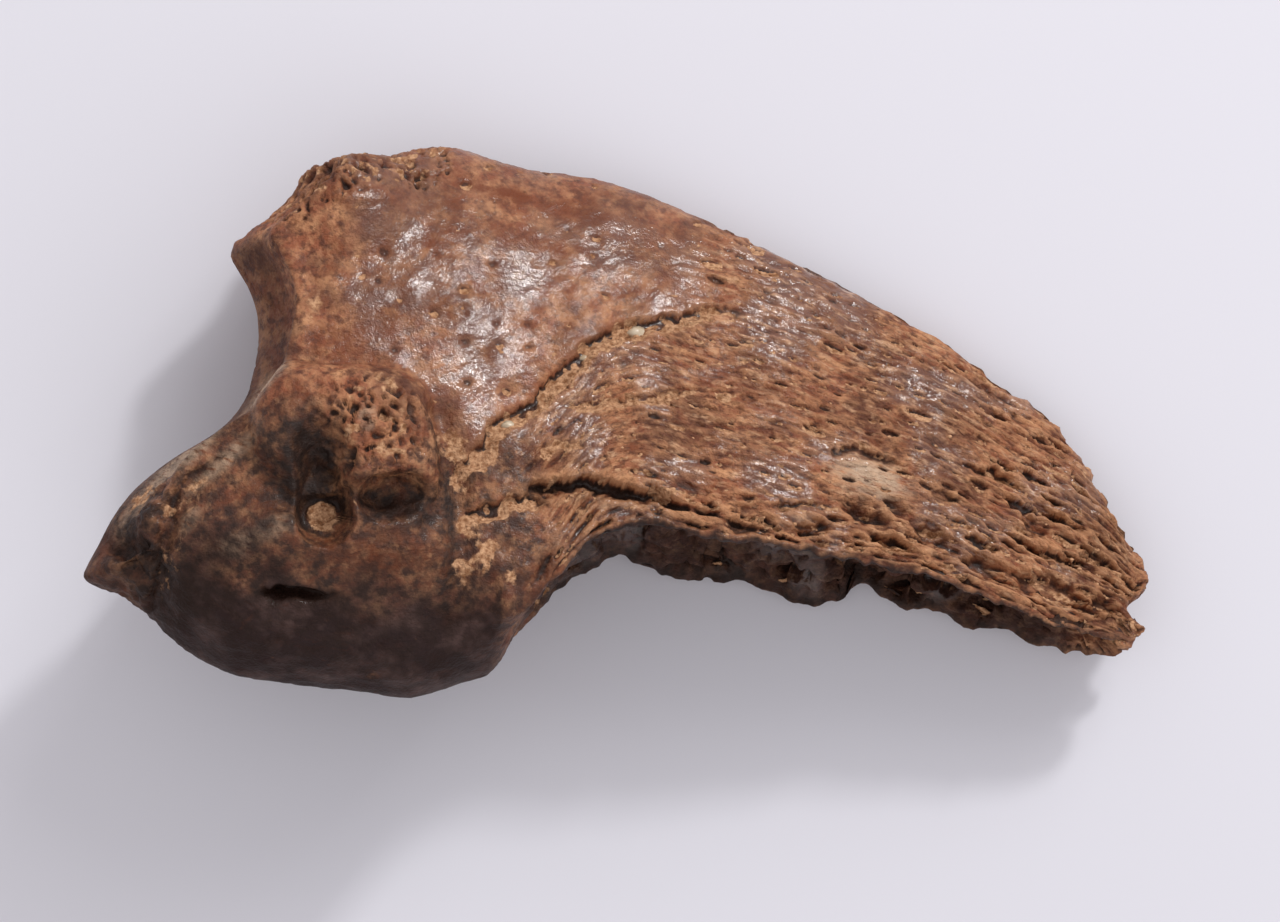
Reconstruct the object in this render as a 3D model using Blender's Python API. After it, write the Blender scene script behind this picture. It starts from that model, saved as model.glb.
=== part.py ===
"""A cave bear's claw core: the fossil bone that the horn claw once covered, lying on its side.

The bone is one piece. It is shaped in its own frame, in millimetres: x runs from the knuckle joint out to the tip,
y from the sole side to the back of the claw, and z out of the bone's upper side, with its middle plane at z = 0.
form() says roughly how far a point is outside the bone: a blade with a knuckle joint, bosses and a tubercle at its
root, and then the furrows, hollows and spongy places of worn old bone. Rays that fan out from a line inside the
bone find its surface. The skin is then turned to the pose in which the bone rests on a table at z = 0.
"""

import math

import bpy
import numpy as np

MM = 0.001  # metres in a millimetre

# The bone's outline, as (place, value) knots in millimetres. Places are x, except on the joint and tip, where they are y.
BACK = [(-21, 10.4), (-18, 13.8), (-14.5, 15.1), (-9.5, 16.1), (-4.3, 15.1), (0.5, 14.4), (5, 12.7), (10, 10.5),
        (15, 8.1), (19.5, 5.9), (23, 3.4), (26, 1.2), (28.3, -2.1), (30.5, -6.2)]
SOLE = [(-30.5, -9.7), (-28, -10.5), (-26.3, -11.3), (-24.6, -13), (-22, -14.8), (-18, -15.6), (-14.5, -15.8),
        (-11, -16.1), (-8.6, -15.3), (-6, -14.3), (-3.9, -11.1), (-2, -8.6), (0.8, -7.1), (5, -7.7), (7.6, -7.9),
        (10.4, -8.3), (14, -8.8), (18.3, -9.4), (21.7, -10.4), (25, -11.5), (30, -12.4)]
HALF_WIDTH = [(-30.5, 1.2), (-28, 3), (-25, 5.2), (-22, 6.3), (-18, 6.8), (-12, 6.8), (-8, 6.5), (-4, 6.2), (0, 6),
              (5, 5.8), (10, 5.5), (15, 4.8), (20, 3.9), (25, 2.9), (30, 1.9)]
JOINT = [(-11, -29.8), (-9.8, -29.6), (-8.6, -29.1), (-6.3, -27.9), (-5, -27), (-3.8, -25.8), (-2.6, -24.2),
         (-1.4, -22.4), (-0.1, -21.2), (1, -20.5), (2.2, -20.2), (3.4, -20), (4.6, -19.9), (5.7, -20), (6.9, -20.4),
         (8, -20.9), (9.1, -21.6), (10.2, -21.1), (11.6, -19.3), (13.5, -17.8)]
TIP = [(-13, 29.3), (-11.2, 31), (-9.9, 29.9), (-8.8, 31.1), (-6.8, 31.2), (-4, 32)]

# Furrows on the upper side: the path in x and y, then width and depth. A negative depth is a raised fold.
UPPER_FURROWS = [
    ([(-9.6, -5.5), (-6.9, -1.7), (-2.7, 2.1), (0.6, 4.4), (4.4, 5.5), (7.3, 5.9)], 0.45, 0.55),  # shrinkage crack
    ([(-8.4, -2.4), (-3.7, 3.1), (0.2, 5.5), (4.4, 6.6)], 0.9, -0.2),  # raised bank above the crack
    ([(-3.4, -0.4), (0.5, 0.2), (4.9, 0.9)], 0.35, 0.3),  # its side branch
    ([(-8.8, -7.4), (-6.3, -6.9), (-4.5, -5.7), (-2, -5.3), (0.9, -5.7), (3.3, -6.4), (5, -6.6)], 0.5, 0.95),  # vessel
    ([(-8.2, -8.7), (-5, -7.4), (-1.5, -6.5), (2, -6.9)], 0.5, -0.4),  # fold below the vessel
    ([(-6.4, -9.2), (-3.4, -8.1), (0, -7), (3.4, -7.4)], 0.4, 0.5),  # ledge above the sole edge
    ([(-25.3, -10.6), (-25, -8.3), (-24, -5.7), (-21.7, -4.2)], 0.6, 0.7),  # groove beside the joint's rim
    ([(-28, -8), (-27.1, -9.1), (-26, -10.4)], 0.7, 1.2),  # pocket behind the root's end
    ([(-18.9, 9.6), (-17.4, 6.5), (-17, 4.2)], 0.9, -0.4),  # band along the joint's rim
    ([(-19.8, -11.8), (-18.2, -11.7), (-16.6, -11.7)], 0.4, 1.1),  # slit over the tubercle
    ([(-9.4, -12.4), (-9.2, -8.6), (-9.5, -4.4), (-10.6, -1.2)], 0.7, 0.5),  # valley round the boss
]
UNDER_FURROWS = [
    ([(-9.4, -6.2), (-6, -6), (-3, -4.6), (0.5, -4.3), (4, -5.2), (8, -5.6)], 0.6, 0.8),  # vessel
    ([(-26.2, -7.9), (-24.8, -6.8), (-22.6, -4.9)], 0.6, 0.3),  # groove beside the joint's rim
    ([(-18.7, 9.4), (-17.2, 6.5), (-17, 4.4)], 0.9, -0.4),  # band along the joint's rim
    ([(-9.4, -12.8), (-9.2, -8.6), (-9.5, -5.4), (-10.6, -2.4)], 0.7, 0.5),  # valley round the boss
]
# Worn hollows of the upper side towards the tip: x, y, half length, half width, slope in degrees and depth.
UPPER_HOLLOWS = [
    (7.2, -7.0, 1.2, 0.5, -5, 0.6), (10.6, -6.9, 1.4, 0.5, 0, 0.6), (13.9, -5.9, 1.7, 0.6, -26, 1.0),
    (16.0, -5.2, 0.8, 0.4, -35, 0.5), (18.1, -7.0, 1.5, 0.6, -24, 0.9), (21.0, -8.6, 1.7, 0.6, -18, 1.0),
    (25.0, -9.3, 2.0, 0.6, -16, 1.0), (24.2, -5.6, 0.9, 0.5, -30, 0.6), (25.3, -7.2, 1.8, 0.4, -26, 0.6),
    (28.0, -10.0, 1.0, 0.5, -15, 0.7), (27.8, -7.7, 0.9, 0.4, -30, 0.5), (30.6, -9.9, 0.9, 0.5, -20, 1.1),
]
UNDER_HOLLOW_COUNT = 11
# Chips out of the under side's sole edge: x, height and half length.
EDGE_CHIPS = [(1.4, 0.5, 0.9), (8.6, 0.4, 0.8), (12.2, -0.5, 1.6), (15.7, 1.0, 1.1), (19.8, 0.4, 0.9), (24, 0.5, 0.8)]

UPPER_LIFT = 0.5  # how far the upper side's boss and lobe stand out past the under side's
SHOULDER_DEG = 37  # how steeply the tubercle slopes off to the sole

# The line inside the bone that the rays leave, and how many rings and columns of points the skin has.
SPINE = [(-18.6, -6.6), (-15, -3.7), (-11, -0.9), (-6, 1.3), (-1, 2.3), (4, 2.2), (10, 0.6), (16, -1.9), (22, -5.3), (26, -8)]
RINGS = 170
COLUMNS = 150
TRIANGLES = 9900  # kept when the skin is thinned where it is smooth
REACH = 27.0  # further from the spine than any of the bone
STEP = 0.5  # thinner than any wall or gap that a ray crosses

# The pose in which the under side's boss, the back of the root and the blade touch the table together.
PITCH_DEG = 8.4  # how far the tip end sinks
ROLL_DEG = 13.6  # how far the back sinks


def curve(knots, at):
    """Smooth curve through (place, value) knots, read at the given places."""
    place, value = np.array(knots, float).T
    slope = np.gradient(value, place)
    i = np.clip(np.searchsorted(place, at) - 1, 0, len(place) - 2)
    step = place[i + 1] - place[i]
    t = np.clip((at - place[i]) / step, 0.0, 1.0)
    from_left = (2 * t**3 - 3 * t**2 + 1) * value[i] + (t**3 - 2 * t**2 + t) * step * slope[i]
    return from_left + (3 * t**2 - 2 * t**3) * value[i + 1] + (t**3 - t**2) * step * slope[i + 1]


def ramp(value, low, high):
    """0 below low, 1 above high, and smooth between them."""
    t = np.clip((value - low) / (high - low), 0.0, 1.0)
    return t * t * (3 - 2 * t)


def join(a, b, blend):
    """Union of two forms, filleted over the blend length."""
    h = np.clip(0.5 + 0.5 * (b - a) / blend, 0, 1)
    return b + (a - b) * h - blend * h * (1 - h)


def cut(a, b, blend):
    """Where both forms are, with the edge rounded over the blend length."""
    return -join(-a, -b, blend)


def lump(p, centre, radii, squareness=2.0):
    """Ellipsoid, with flatter sides where its squareness is over 2."""
    share = np.abs((p - np.array(centre, float)) / np.array(radii, float))
    return (np.sum(share**squareness, axis=-1) ** (1 / squareness) - 1) * min(radii)


def leaned(p, y, z, degrees):
    """Points seen from an axis square to x that passes through y and z and leans towards the sole by degrees."""
    c, s = math.cos(math.radians(degrees)), math.sin(math.radians(degrees))
    across, up = p[..., 1] - y, p[..., 2] - z
    return np.stack([p[..., 0], c * across + s * up, c * up - s * across], -1)


def well(q, x, radii, depth, draft):
    """Hole along an axis: an oval mouth at height 0 that narrows by its draft as it goes down to a rounded floor."""
    wall = (np.hypot((q[..., 0] - x) / radii[0], q[..., 1] / radii[1]) - 1) * min(radii) - draft * q[..., 2]
    return cut(wall, -depth - q[..., 2], 0.4)


def corner(cell):
    """A fixed pseudo-random number from 0 to 1 for each whole-numbered corner of space."""
    mixed = np.sin(cell @ np.array([127.1, 311.7, 74.7])) * 43758.5453
    return mixed - np.floor(mixed)


def noise(p):
    """Smooth noise from -1 to 1 whose bumps are about one unit across."""
    cell = np.floor(p)
    t = p - cell
    t = t * t * (3 - 2 * t)
    total = 0.0
    for offset in np.ndindex(2, 2, 2):
        offset = np.array(offset, float)
        weight = np.prod(np.where(offset > 0, t, 1 - t), axis=-1)
        total = total + weight * corner(cell + offset)
    return 2 * total - 1


def furrow(x, y, path, width, depth):
    """Height of a furrow that runs along a path and fades over its width."""
    nearest = np.full(x.shape, np.inf)
    for (x0, y0), (x1, y1) in zip(path, path[1:]):
        length = math.hypot(x1 - x0, y1 - y0)
        along = np.clip(((x - x0) * (x1 - x0) + (y - y0) * (y1 - y0)) / length**2, 0, 1)
        nearest = np.minimum(nearest, np.hypot(x - x0 - along * (x1 - x0), y - y0 - along * (y1 - y0)))
    return depth * np.exp(-((nearest / width) ** 2))


def hollow(x, y, x0, y0, half_length, half_width, slope, depth):
    """Height of an oval hollow that slopes by degrees in the x and y plane."""
    c, s = math.cos(math.radians(slope)), math.sin(math.radians(slope))
    along, across = c * (x - x0) + s * (y - y0), -s * (x - x0) + c * (y - y0)
    return depth * np.exp(-((along / half_length) ** 4) - (across / half_width) ** 2)


def wear(x, y, z):
    """How much the furrows, hollows and spongy places take off the bone."""
    on_side = ramp(y - curve(SOLE, x), 0.2, 1.2)
    upper = ramp(z, 0.0, 0.8) * on_side
    under = ramp(-z, 0.0, 0.8) * on_side
    taken = sum(upper * furrow(x, y, *spec) for spec in UPPER_FURROWS)
    taken = taken + sum(under * furrow(x, y, *spec) for spec in UNDER_FURROWS)
    taken = taken + sum(upper * hollow(x, y, *spec) for spec in UPPER_HOLLOWS)
    for k in range(UNDER_HOLLOW_COUNT):
        x0 = 6.5 + 2.2 * k
        y0 = float(curve(SOLE, x0)) + 2.1 + 0.9 * math.sin(2.4 * k)
        taken = taken + under * hollow(x, y, x0, y0, 1.2 + 0.4 * math.cos(1.7 * k), 0.5, -20, 0.75)
    back_root = ramp(y - 10.0 - 0.25 * (x + 18), 0.0, 1.2) * ramp(-8.2 - x, 0, 1.2)
    boss_top = np.exp(-((((x + 14.8) / 3.4) ** 2 + ((y + 2.4) / 3.2) ** 2) ** 2)) * ramp(np.abs(z), 5.5, 7)
    sole_edge = ramp(-y - 3.2 + 0.17 * x, 0.0, 3.0) * ramp(x, -9, -6)
    tip_end = ramp(x + 0.4 * y, 20.0, 28.0)
    p = np.stack([x, y, z], -1)
    pores = np.clip(1.6 * noise(p / 0.95 + 7.3), 0, 1)
    grain = noise(np.stack([x + 0.35 * y, 3 * y + 0.6 * x, 2 * z], -1) / 3.0)
    taken = taken + 0.9 * np.maximum(back_root, boss_top) * pores
    taken = taken + 0.28 * np.maximum(sole_edge, 0.7 * tip_end) * grain
    return taken + 0.10 * noise(p / 3.1)


def form(p):
    """Roughly how far each point is outside the bone, in millimetres."""
    x, y, z = p[..., 0], p[..., 1], p[..., 2]
    side = np.abs(z)
    mirrored = np.stack([x, y, side], -1)
    back, sole = curve(BACK, np.clip(x, -17, 31)), curve(SOLE, x)
    chips = sum(height * np.exp(-(((x - x0) / half_length) ** 2)) for x0, height, half_length in EDGE_CHIPS)
    sole = sole + chips * ramp(-z, 0.5, 3.0)
    # The blade: in section its side bulges from the sole's edge up to the narrow back.
    up = (y - sole) / (back - sole)
    fullness = 1.25 + 1.6 / (1 + np.exp((x + 6) / 2.0))
    width = curve(HALF_WIDTH, x) * np.sqrt(np.clip(1 - np.clip(up, 0, 1) ** fullness, 0, 1))
    body = side - width + 0.8 * np.clip(up - 1, 0, None) * (back - sole)
    # The root's swellings, on both sides: boss, lobe by the joint, joint's rim, tubercle and the back's tendon knob.
    proud = side - np.where(z > 0, UPPER_LIFT, 0)
    boss = np.stack([x, y - np.where(z > 0, -3.6, -5.4), proud], -1)
    body = join(body, lump(boss, (-14.6, 0, 5.2), (4.4, 5.0, 3.8), 2.7), 0.4)
    body = join(body, lump(np.stack([x, y, proud], -1), (-18.3, -2.0, 4.9), (2.7, 3.5, 3.4), 2.6), 0.6)
    body = join(body, lump(mirrored, (-26.6, -6.9, 2.8), (1.8, 1.7, 2.2)), 0.6)
    body = join(body, lump(mirrored, (-17, -10.3, 3.2), (10.6, 4.4, 5.2)), 0.8)
    body = join(body, lump(mirrored, (-15.2, 10.8, 1.6), (4.6, 4.4, 3.8)), 1.0)
    # The tubercle slopes off from the bosses to the sole, and its corner slopes off towards the joint.
    slope = math.radians(SHOULDER_DEG)
    shoulder = (side - 8.5) * math.cos(slope) - (y + 7.7) * math.sin(slope)
    corner_slope = -0.40 * (x + 22.6) - 0.42 * (y + 7.6) + 0.81 * (side - 7.1)
    body = cut(body, shoulder - 12 * ramp(x, -7.5, -3), 1.0)
    body = cut(body, corner_slope, 1.2)
    # The basin between boss and joint, the way down to the vessel's hole, the hole, and the pocket under the boss.
    body = cut(body, -well(leaned(mirrored, -5.0, 8.9, 4), -17.4, (1.9, 3.0), 2.7, 0.7), 0.4)
    body = cut(body, -well(leaned(mirrored, -6.4, 8.2, 12), -17.0, (1.7, 1.8), 2.1, 0.3), 0.4)
    body = cut(body, -well(leaned(mirrored, -7.2, 6.6, 24), -16.9, (1.4, 1.4), 1.2, 0.25), 0.2)
    body = cut(body, -lump(leaned(mirrored, -6.9, 9.0, 22), (-12.9, 0, 0), (2.5, 1.5, 2.7)), 0.5)
    # The tubercle's sole is a blunt keel, and the blade's sole is a trough.
    keel = np.sqrt(side**2 + 2.2) - 1.48
    under_root = 1 / (1 + np.exp((x + 5) / 0.8))
    trough = 1.8 * np.clip(1 - (side / (0.9 * curve(HALF_WIDTH, x))) ** 2, 0, 1)
    body = cut(body, (sole - y + under_root * 0.5 * keel + (1 - under_root) * trough) * 0.9, 0.7)
    body = cut(body, (y - curve(BACK, x)) * 0.8, 1.2)
    body = body + wear(x, y, z)
    # The joint's face: a low ridge down its middle, and a cup on each side of it.
    cups = 1.4 * np.sin(np.pi * np.clip(side, 0, 7.2) / 7.2) ** 2 + 0.14 * side
    body = cut(body, (curve(JOINT, y) + cups - x) * 0.8, 0.4)
    return cut(body, x - curve(TIP, y), 0.8)


def spine_at(place):
    """Point and direction of the spine at a share of its length."""
    knots = np.array(SPINE, float)
    reach = np.concatenate([[0], np.cumsum(np.hypot(*np.diff(knots, axis=0).T))])
    at = np.clip(place, 0, 1) * reach[-1]
    tracks = [np.stack([reach, knots[:, axis]], 1) for axis in (0, 1)]
    point = np.stack([curve(track, at) for track in tracks], -1)
    along = np.stack([curve(track, at + 0.05) - curve(track, at - 0.05) for track in tracks], -1)
    return point, along / np.linalg.norm(along, axis=-1, keepdims=True)


def rays(place, angle):
    """Start and direction of each ray. Places below 0 and above 1 fan out over the bone's two ends."""
    point, along = spine_at(place)
    lean = np.radians(90 * (np.clip(place - 1, 0, 1) - np.clip(-place, 0, 1)))[..., None]
    flat = np.zeros_like(point[..., :1])
    start = np.concatenate([point, flat], -1)
    along = np.concatenate([along, flat], -1)
    across = np.stack([-along[..., 1], along[..., 0], along[..., 2]], -1)
    out = np.cos(angle)[..., None] * across + np.sin(angle)[..., None] * np.array([0, 0, 1.0])
    return start, np.cos(lean) * out + np.sin(lean) * along


def surface(place, angle):
    """Where each ray leaves the bone."""
    place, angle = np.broadcast_arrays(place, angle)
    start, way = rays(place, angle)
    outer = np.zeros(place.shape)
    for reach in np.arange(REACH, 0, -STEP):
        open_rays = outer == 0
        inside = form(start[open_rays] + way[open_rays] * reach) < 0
        outer[open_rays] = np.where(inside, reach + STEP, 0)
    inner = outer - STEP
    for _ in range(10):
        middle = (inner + outer) / 2
        inside = form(start + way * middle[..., None]) < 0
        inner, outer = np.where(inside, middle, inner), np.where(inside, outer, middle)
    return start + way * outer[..., None]


def evened(points, values, count):
    """Values read again so that the points that they stand for lie evenly."""
    length = np.concatenate([[0], np.cumsum(np.linalg.norm(np.diff(points, axis=0), axis=-1))])
    at = np.linspace(0, length[-1], count)
    return np.stack([np.interp(at, length, value) for value in values])


def softened(values, passes):
    """Each column averaged with its neighbours round the ring."""
    for _ in range(passes):
        values = (np.roll(values, 1, axis=1) + 2 * values + np.roll(values, -1, axis=1)) / 4
    return values


def skin():
    """Grid of points on the bone: rings from the joint to the tip, and columns round it."""
    rough_place = np.linspace(-0.985, 1.97, 120)
    angle = np.linspace(0, 2 * math.pi, 72, endpoint=False)
    rough = surface(rough_place[:, None], angle[None])
    place = np.stack([evened(rough[:, k], [rough_place], RINGS)[0] for k in range(len(angle))], axis=1)
    place = softened(place, 12)
    rough = surface(place, angle[None])
    again = [*range(len(angle)), 0]
    turn = np.append(angle, 2 * math.pi)
    rings = [evened(ring[again], [at[again], turn], COLUMNS + 1)[:, :-1] for ring, at in zip(rough, place)]
    place, angle = np.stack(rings, axis=1)
    return surface(place, angle)


def at_rest(points):
    """The points turned to the resting pose."""
    p, r = math.radians(PITCH_DEG), math.radians(ROLL_DEG)
    pitch = np.array([[math.cos(p), 0, math.sin(p)], [0, 1, 0], [-math.sin(p), 0, math.cos(p)]])
    roll = np.array([[1, 0, 0], [0, math.cos(r), math.sin(r)], [0, -math.sin(r), math.cos(r)]])
    return points @ (roll @ pitch).T


def fossil_bone():
    """Old bone, stained brown by the cave's clay."""
    material = bpy.data.materials.new("fossil_bone")
    material.use_nodes = True
    shader = material.node_tree.nodes["Principled BSDF"]
    shader.inputs["Base Color"].default_value = (0.26, 0.13, 0.065, 1.0)
    shader.inputs["Roughness"].default_value = 0.55
    shader.inputs["Metallic"].default_value = 0.0
    return material


def claw_bone():
    """The bone as one closed mesh, standing on z = 0 with its box centred on the origin."""
    grid = at_rest(skin())
    rows, columns = grid.shape[:2]
    points = np.concatenate([grid.reshape(-1, 3), [grid[0].mean(0), grid[-1].mean(0)]])
    low, high = points.min(0), points.max(0)
    points = (points - [(low[0] + high[0]) / 2, (low[1] + high[1]) / 2, low[2]]) * MM
    ring = np.arange(rows * columns).reshape(rows, columns)
    turned = np.roll(ring, -1, axis=1)
    faces = np.stack([ring[:-1], turned[:-1], turned[1:], ring[1:]], -1).reshape(-1, 4).tolist()
    root_pole, tip_pole = rows * columns, rows * columns + 1
    faces += [[root_pole, b, a] for a, b in zip(ring[0].tolist(), turned[0].tolist())]
    faces += [[tip_pole, a, b] for a, b in zip(ring[-1].tolist(), turned[-1].tolist())]
    mesh = bpy.data.meshes.new("claw_bone")
    mesh.from_pydata(points.tolist(), [], faces)
    mesh.materials.append(fossil_bone())
    mesh.shade_smooth()
    bone = bpy.data.objects.new("claw_bone", mesh)
    thinning = bone.modifiers.new("thinning", "DECIMATE")
    thinning.ratio = TRIANGLES / (2 * rows * columns)
    return bone


def main():
    for old in list(bpy.data.objects):
        bpy.data.objects.remove(old)
    bpy.context.scene.collection.objects.link(claw_bone())


main()
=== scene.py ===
"""The fossil core of a cave bear's claw, dressed and lying on a pale table.

Shapes are worked out in the bone's own frame, in millimetres: x runs from the joint to the tip, y from the
sole to the back, and z out of the side that lies uppermost. The skin is then turned to its resting pose.
"""

import sys
import logging
import math
from collections.abc import Mapping, Sequence
from dataclasses import dataclass
from enum import Enum

import bpy
import numpy as np
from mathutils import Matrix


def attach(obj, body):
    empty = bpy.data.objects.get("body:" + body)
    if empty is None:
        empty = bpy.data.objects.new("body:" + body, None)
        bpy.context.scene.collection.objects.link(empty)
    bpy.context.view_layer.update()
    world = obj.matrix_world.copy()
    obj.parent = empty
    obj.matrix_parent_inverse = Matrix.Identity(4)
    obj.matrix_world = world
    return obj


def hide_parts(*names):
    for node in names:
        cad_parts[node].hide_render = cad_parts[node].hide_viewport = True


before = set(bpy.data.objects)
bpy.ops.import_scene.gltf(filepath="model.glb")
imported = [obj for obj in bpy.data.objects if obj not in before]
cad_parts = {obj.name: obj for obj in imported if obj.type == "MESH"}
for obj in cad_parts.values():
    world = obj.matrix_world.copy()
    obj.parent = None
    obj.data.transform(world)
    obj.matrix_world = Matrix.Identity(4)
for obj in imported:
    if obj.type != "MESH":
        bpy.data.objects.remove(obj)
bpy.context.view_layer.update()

BODY = "root"
NODE = "claw_bone"
MM = 0.001
PAINTED = ("clay", "gloss", "rust", "slate", "pale", "shade", "fleck")

Array = np.ndarray
Socket = bpy.types.NodeSocket
Vector = tuple[float, float, float]
Knots = tuple[tuple[float, float], ...]
log = logging.getLogger("claw")


class Side(Enum):
    """Which side of the bone a mark is on. Its value is the sign of z there."""

    UPPER = 1.0
    UNDER = -1.0

    def share(self, z: Array) -> Array:
        """1 on this side, 0 on the other, and smooth across the middle plane."""
        return ramp(self.value * z, -0.2, 0.6)


# ---------------------------------------------------------------- formulas on whole arrays


def ramp(value: Array, low: float, high: float) -> Array:
    """0 below low, 1 above high, and smooth between them."""
    t = np.clip((value - low) / (high - low), 0.0, 1.0)
    return t * t * (3 - 2 * t)


def bell(value: Array, half: float) -> Array:
    """1 where the value is 0, falling like a bell to about a third at the half width."""
    return np.exp(-((value / half) ** 2))


def join(a: Array, b: Array, blend: float) -> Array:
    """Union of two forms, filleted over the blend length."""
    h = np.clip(0.5 + 0.5 * (b - a) / blend, 0, 1)
    return b + (a - b) * h - blend * h * (1 - h)


def cut(a: Array, b: Array, blend: float) -> Array:
    """Where both forms are, with the edge rounded over the blend length."""
    return -join(-a, -b, blend)


def lump(p: Array, centre: Vector, radii: Vector, squareness: float = 2.0) -> Array:
    """Ellipsoid, with flatter sides where its squareness is over 2."""
    share = np.abs((p - np.array(centre, float)) / np.array(radii, float))
    return (np.sum(share**squareness, axis=-1) ** (1 / squareness) - 1) * min(radii)


def leaned(p: Array, y: float, z: float, degrees: float) -> Array:
    """Points seen from an axis through y and z, square to x, that leans towards the sole by degrees.

    Args:
        p: points of the bone's frame.
        y: height of the axis.
        z: how far out the axis is.
        degrees: how far it leans.

    Returns:
        Points with the axis as their origin.
    """
    c, s = math.cos(math.radians(degrees)), math.sin(math.radians(degrees))
    across, up = p[..., 1] - y, p[..., 2] - z
    return np.stack([p[..., 0], c * across + s * up, c * up - s * across], -1)


def chance(cell: Array, seed: float = 0.0) -> Array:
    """A fixed pseudo-random number from 0 to 1 for each whole-numbered place.

    Args:
        cell: whole numbers, with two or three in the last axis.
        seed: picks another set of numbers.

    Returns:
        The fraction of a large multiple of a sine, one number a place.
    """
    weights = np.array([127.1, 311.7, 74.7])[: cell.shape[-1]]
    mixed = np.sin(cell @ weights + seed * 19.19) * 43758.5453
    return mixed - np.floor(mixed)


def noise(p: Array, seed: float = 0.0) -> Array:
    """Smooth noise from -1 to 1 whose bumps are about one unit across, in two or three dimensions.

    Args:
        p: points, in bump widths.
        seed: picks another pattern.

    Returns:
        One number a point.
    """
    cell = np.floor(p)
    t = p - cell
    t = t * t * (3 - 2 * t)
    total = np.zeros(p.shape[:-1])
    for offset in np.ndindex(*(2,) * p.shape[-1]):
        corner = np.array(offset, float)
        weight = np.prod(np.where(corner > 0, t, 1 - t), axis=-1)
        total = total + weight * chance(cell + corner, seed)
    return 2 * total - 1


def woven(seed: float, *places: Array) -> Array:
    """Noise over coordinates that are given one by one, each in bump widths."""
    return noise(np.stack(places, -1), seed)


def rough(p: Array, layers: int, seed: float) -> Array:
    """Layers of noise, each half as wide and half as high as the last."""
    return sum(noise(p * 2**k, seed + k) / 2**k for k in range(layers))


def cells(p: Array, seed: float) -> tuple[Array, Array]:
    """Scattered centres, one in each unit cube.

    Args:
        p: points, in cube widths.
        seed: picks another scatter.

    Returns:
        The distance to the nearest centre, and that centre's own chance.
    """
    base = np.floor(p)
    nearest = np.full(p.shape[:-1], 9.0)
    owner = np.zeros_like(nearest)
    for offset in np.ndindex(3, 3, 3):
        cell = base + np.array(offset, float) - 1
        centre = cell + 0.12 + 0.76 * np.stack([chance(cell, seed + k) for k in range(3)], -1)
        gap = np.sqrt(np.sum((p - centre) ** 2, axis=-1))
        owner = np.where(gap < nearest, chance(cell, seed + 7), owner)
        nearest = np.minimum(gap, nearest)
    return nearest, owner


@dataclass(frozen=True)
class Pits:
    """Oval pits scattered over a surface, one or none in each cell of a grid laid along the bone's grain.

    Each pit's wall is steep on the back's side, and its floor rises gently to the sole's side.
    """

    pitch: tuple[float, float]
    share: float
    half: tuple[float, float]
    seed: float

    def at(self, s: Array, t: Array) -> tuple[Array, Array]:
        """Pits at these places.

        Args:
            s: place along the grain.
            t: place across it.

        Returns:
            How deep each point is, from 0 at a rim to 1 in a large pit, and how much sand lies there.
        """
        depth, sand = np.zeros(s.shape), np.zeros(s.shape)
        base = np.stack([np.floor(s / self.pitch[0]), np.floor(t / self.pitch[1])], -1)
        for offset in np.ndindex(3, 3):
            cell = base + np.array(offset, float) - 1
            size = 0.55 + 0.9 * chance(cell, self.seed + 1) ** 2
            u, v = (
                (at - (cell[..., k] + 0.15 + 0.7 * chance(cell, self.seed + 2 + k)) * self.pitch[k])
                / (self.half[k] * size)
                for k, at in enumerate((s, t))
            )
            v = v + u * (chance(cell, self.seed + 4) - 0.5) * 0.6
            fall = 0.22 + 0.78 * ramp(-v, -0.4, 0.8)
            there = chance(cell, self.seed + 5) < self.share
            bowl = ramp(1.25 - np.sqrt(u * u + v * v), 0.0, fall) * size * there
            filled = chance(cell, self.seed + 6) > 0.25
            sand = np.maximum(sand, ramp(bowl, 0.08, 0.3) * ramp(0.7 - v, 0.0, 0.35) * filled)
            depth = np.maximum(depth, bowl)
        return np.minimum(depth, 1.2), sand


def trace(x: Array, y: Array, path: Knots) -> tuple[Array, Array]:
    """Where points lie beside a path.

    Args:
        x: first coordinate of each point.
        y: second coordinate.
        path: the corners of the path.

    Returns:
        The distance from the path, positive on its left, and the share of the path at the nearest place.
    """
    nearest = np.full(x.shape, 99.0)
    share = np.zeros(x.shape)
    for k, ((x0, y0), (x1, y1)) in enumerate(zip(path, path[1:])):
        length = math.hypot(x1 - x0, y1 - y0)
        dx, dy = (x1 - x0) / length, (y1 - y0) / length
        along = np.clip((x - x0) * dx + (y - y0) * dy, 0, length)
        gap = np.hypot(x - x0 - along * dx, y - y0 - along * dy)
        left = (y - y0) * dx - (x - x0) * dy
        closer = gap < np.abs(nearest)
        nearest = np.where(closer, np.where(left > 0, gap, -gap), nearest)
        share = np.where(closer, (k + along / length) / (len(path) - 1), share)
    return nearest, share


@dataclass(frozen=True)
class Track:
    """A smooth line through (place, value) knots, level past its ends."""

    knots: Knots

    def at(self, place: Array) -> Array:
        """Cubic between each two knots, with slopes taken from their neighbours.

        Args:
            place: places along the line.

        Returns:
            The line's value at each.
        """
        knot, value = np.array(self.knots, float).T
        slope = np.gradient(value, knot)
        i = np.clip(np.searchsorted(knot, place) - 1, 0, len(knot) - 2)
        step = knot[i + 1] - knot[i]
        t = np.clip((place - knot[i]) / step, 0.0, 1.0)
        low = (2 * t**3 - 3 * t**2 + 1) * value[i] + (t**3 - 2 * t**2 + t) * step * slope[i]
        return low + (3 * t**2 - 2 * t**3) * value[i + 1] + (t**3 - t**2) * step * slope[i + 1]


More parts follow.
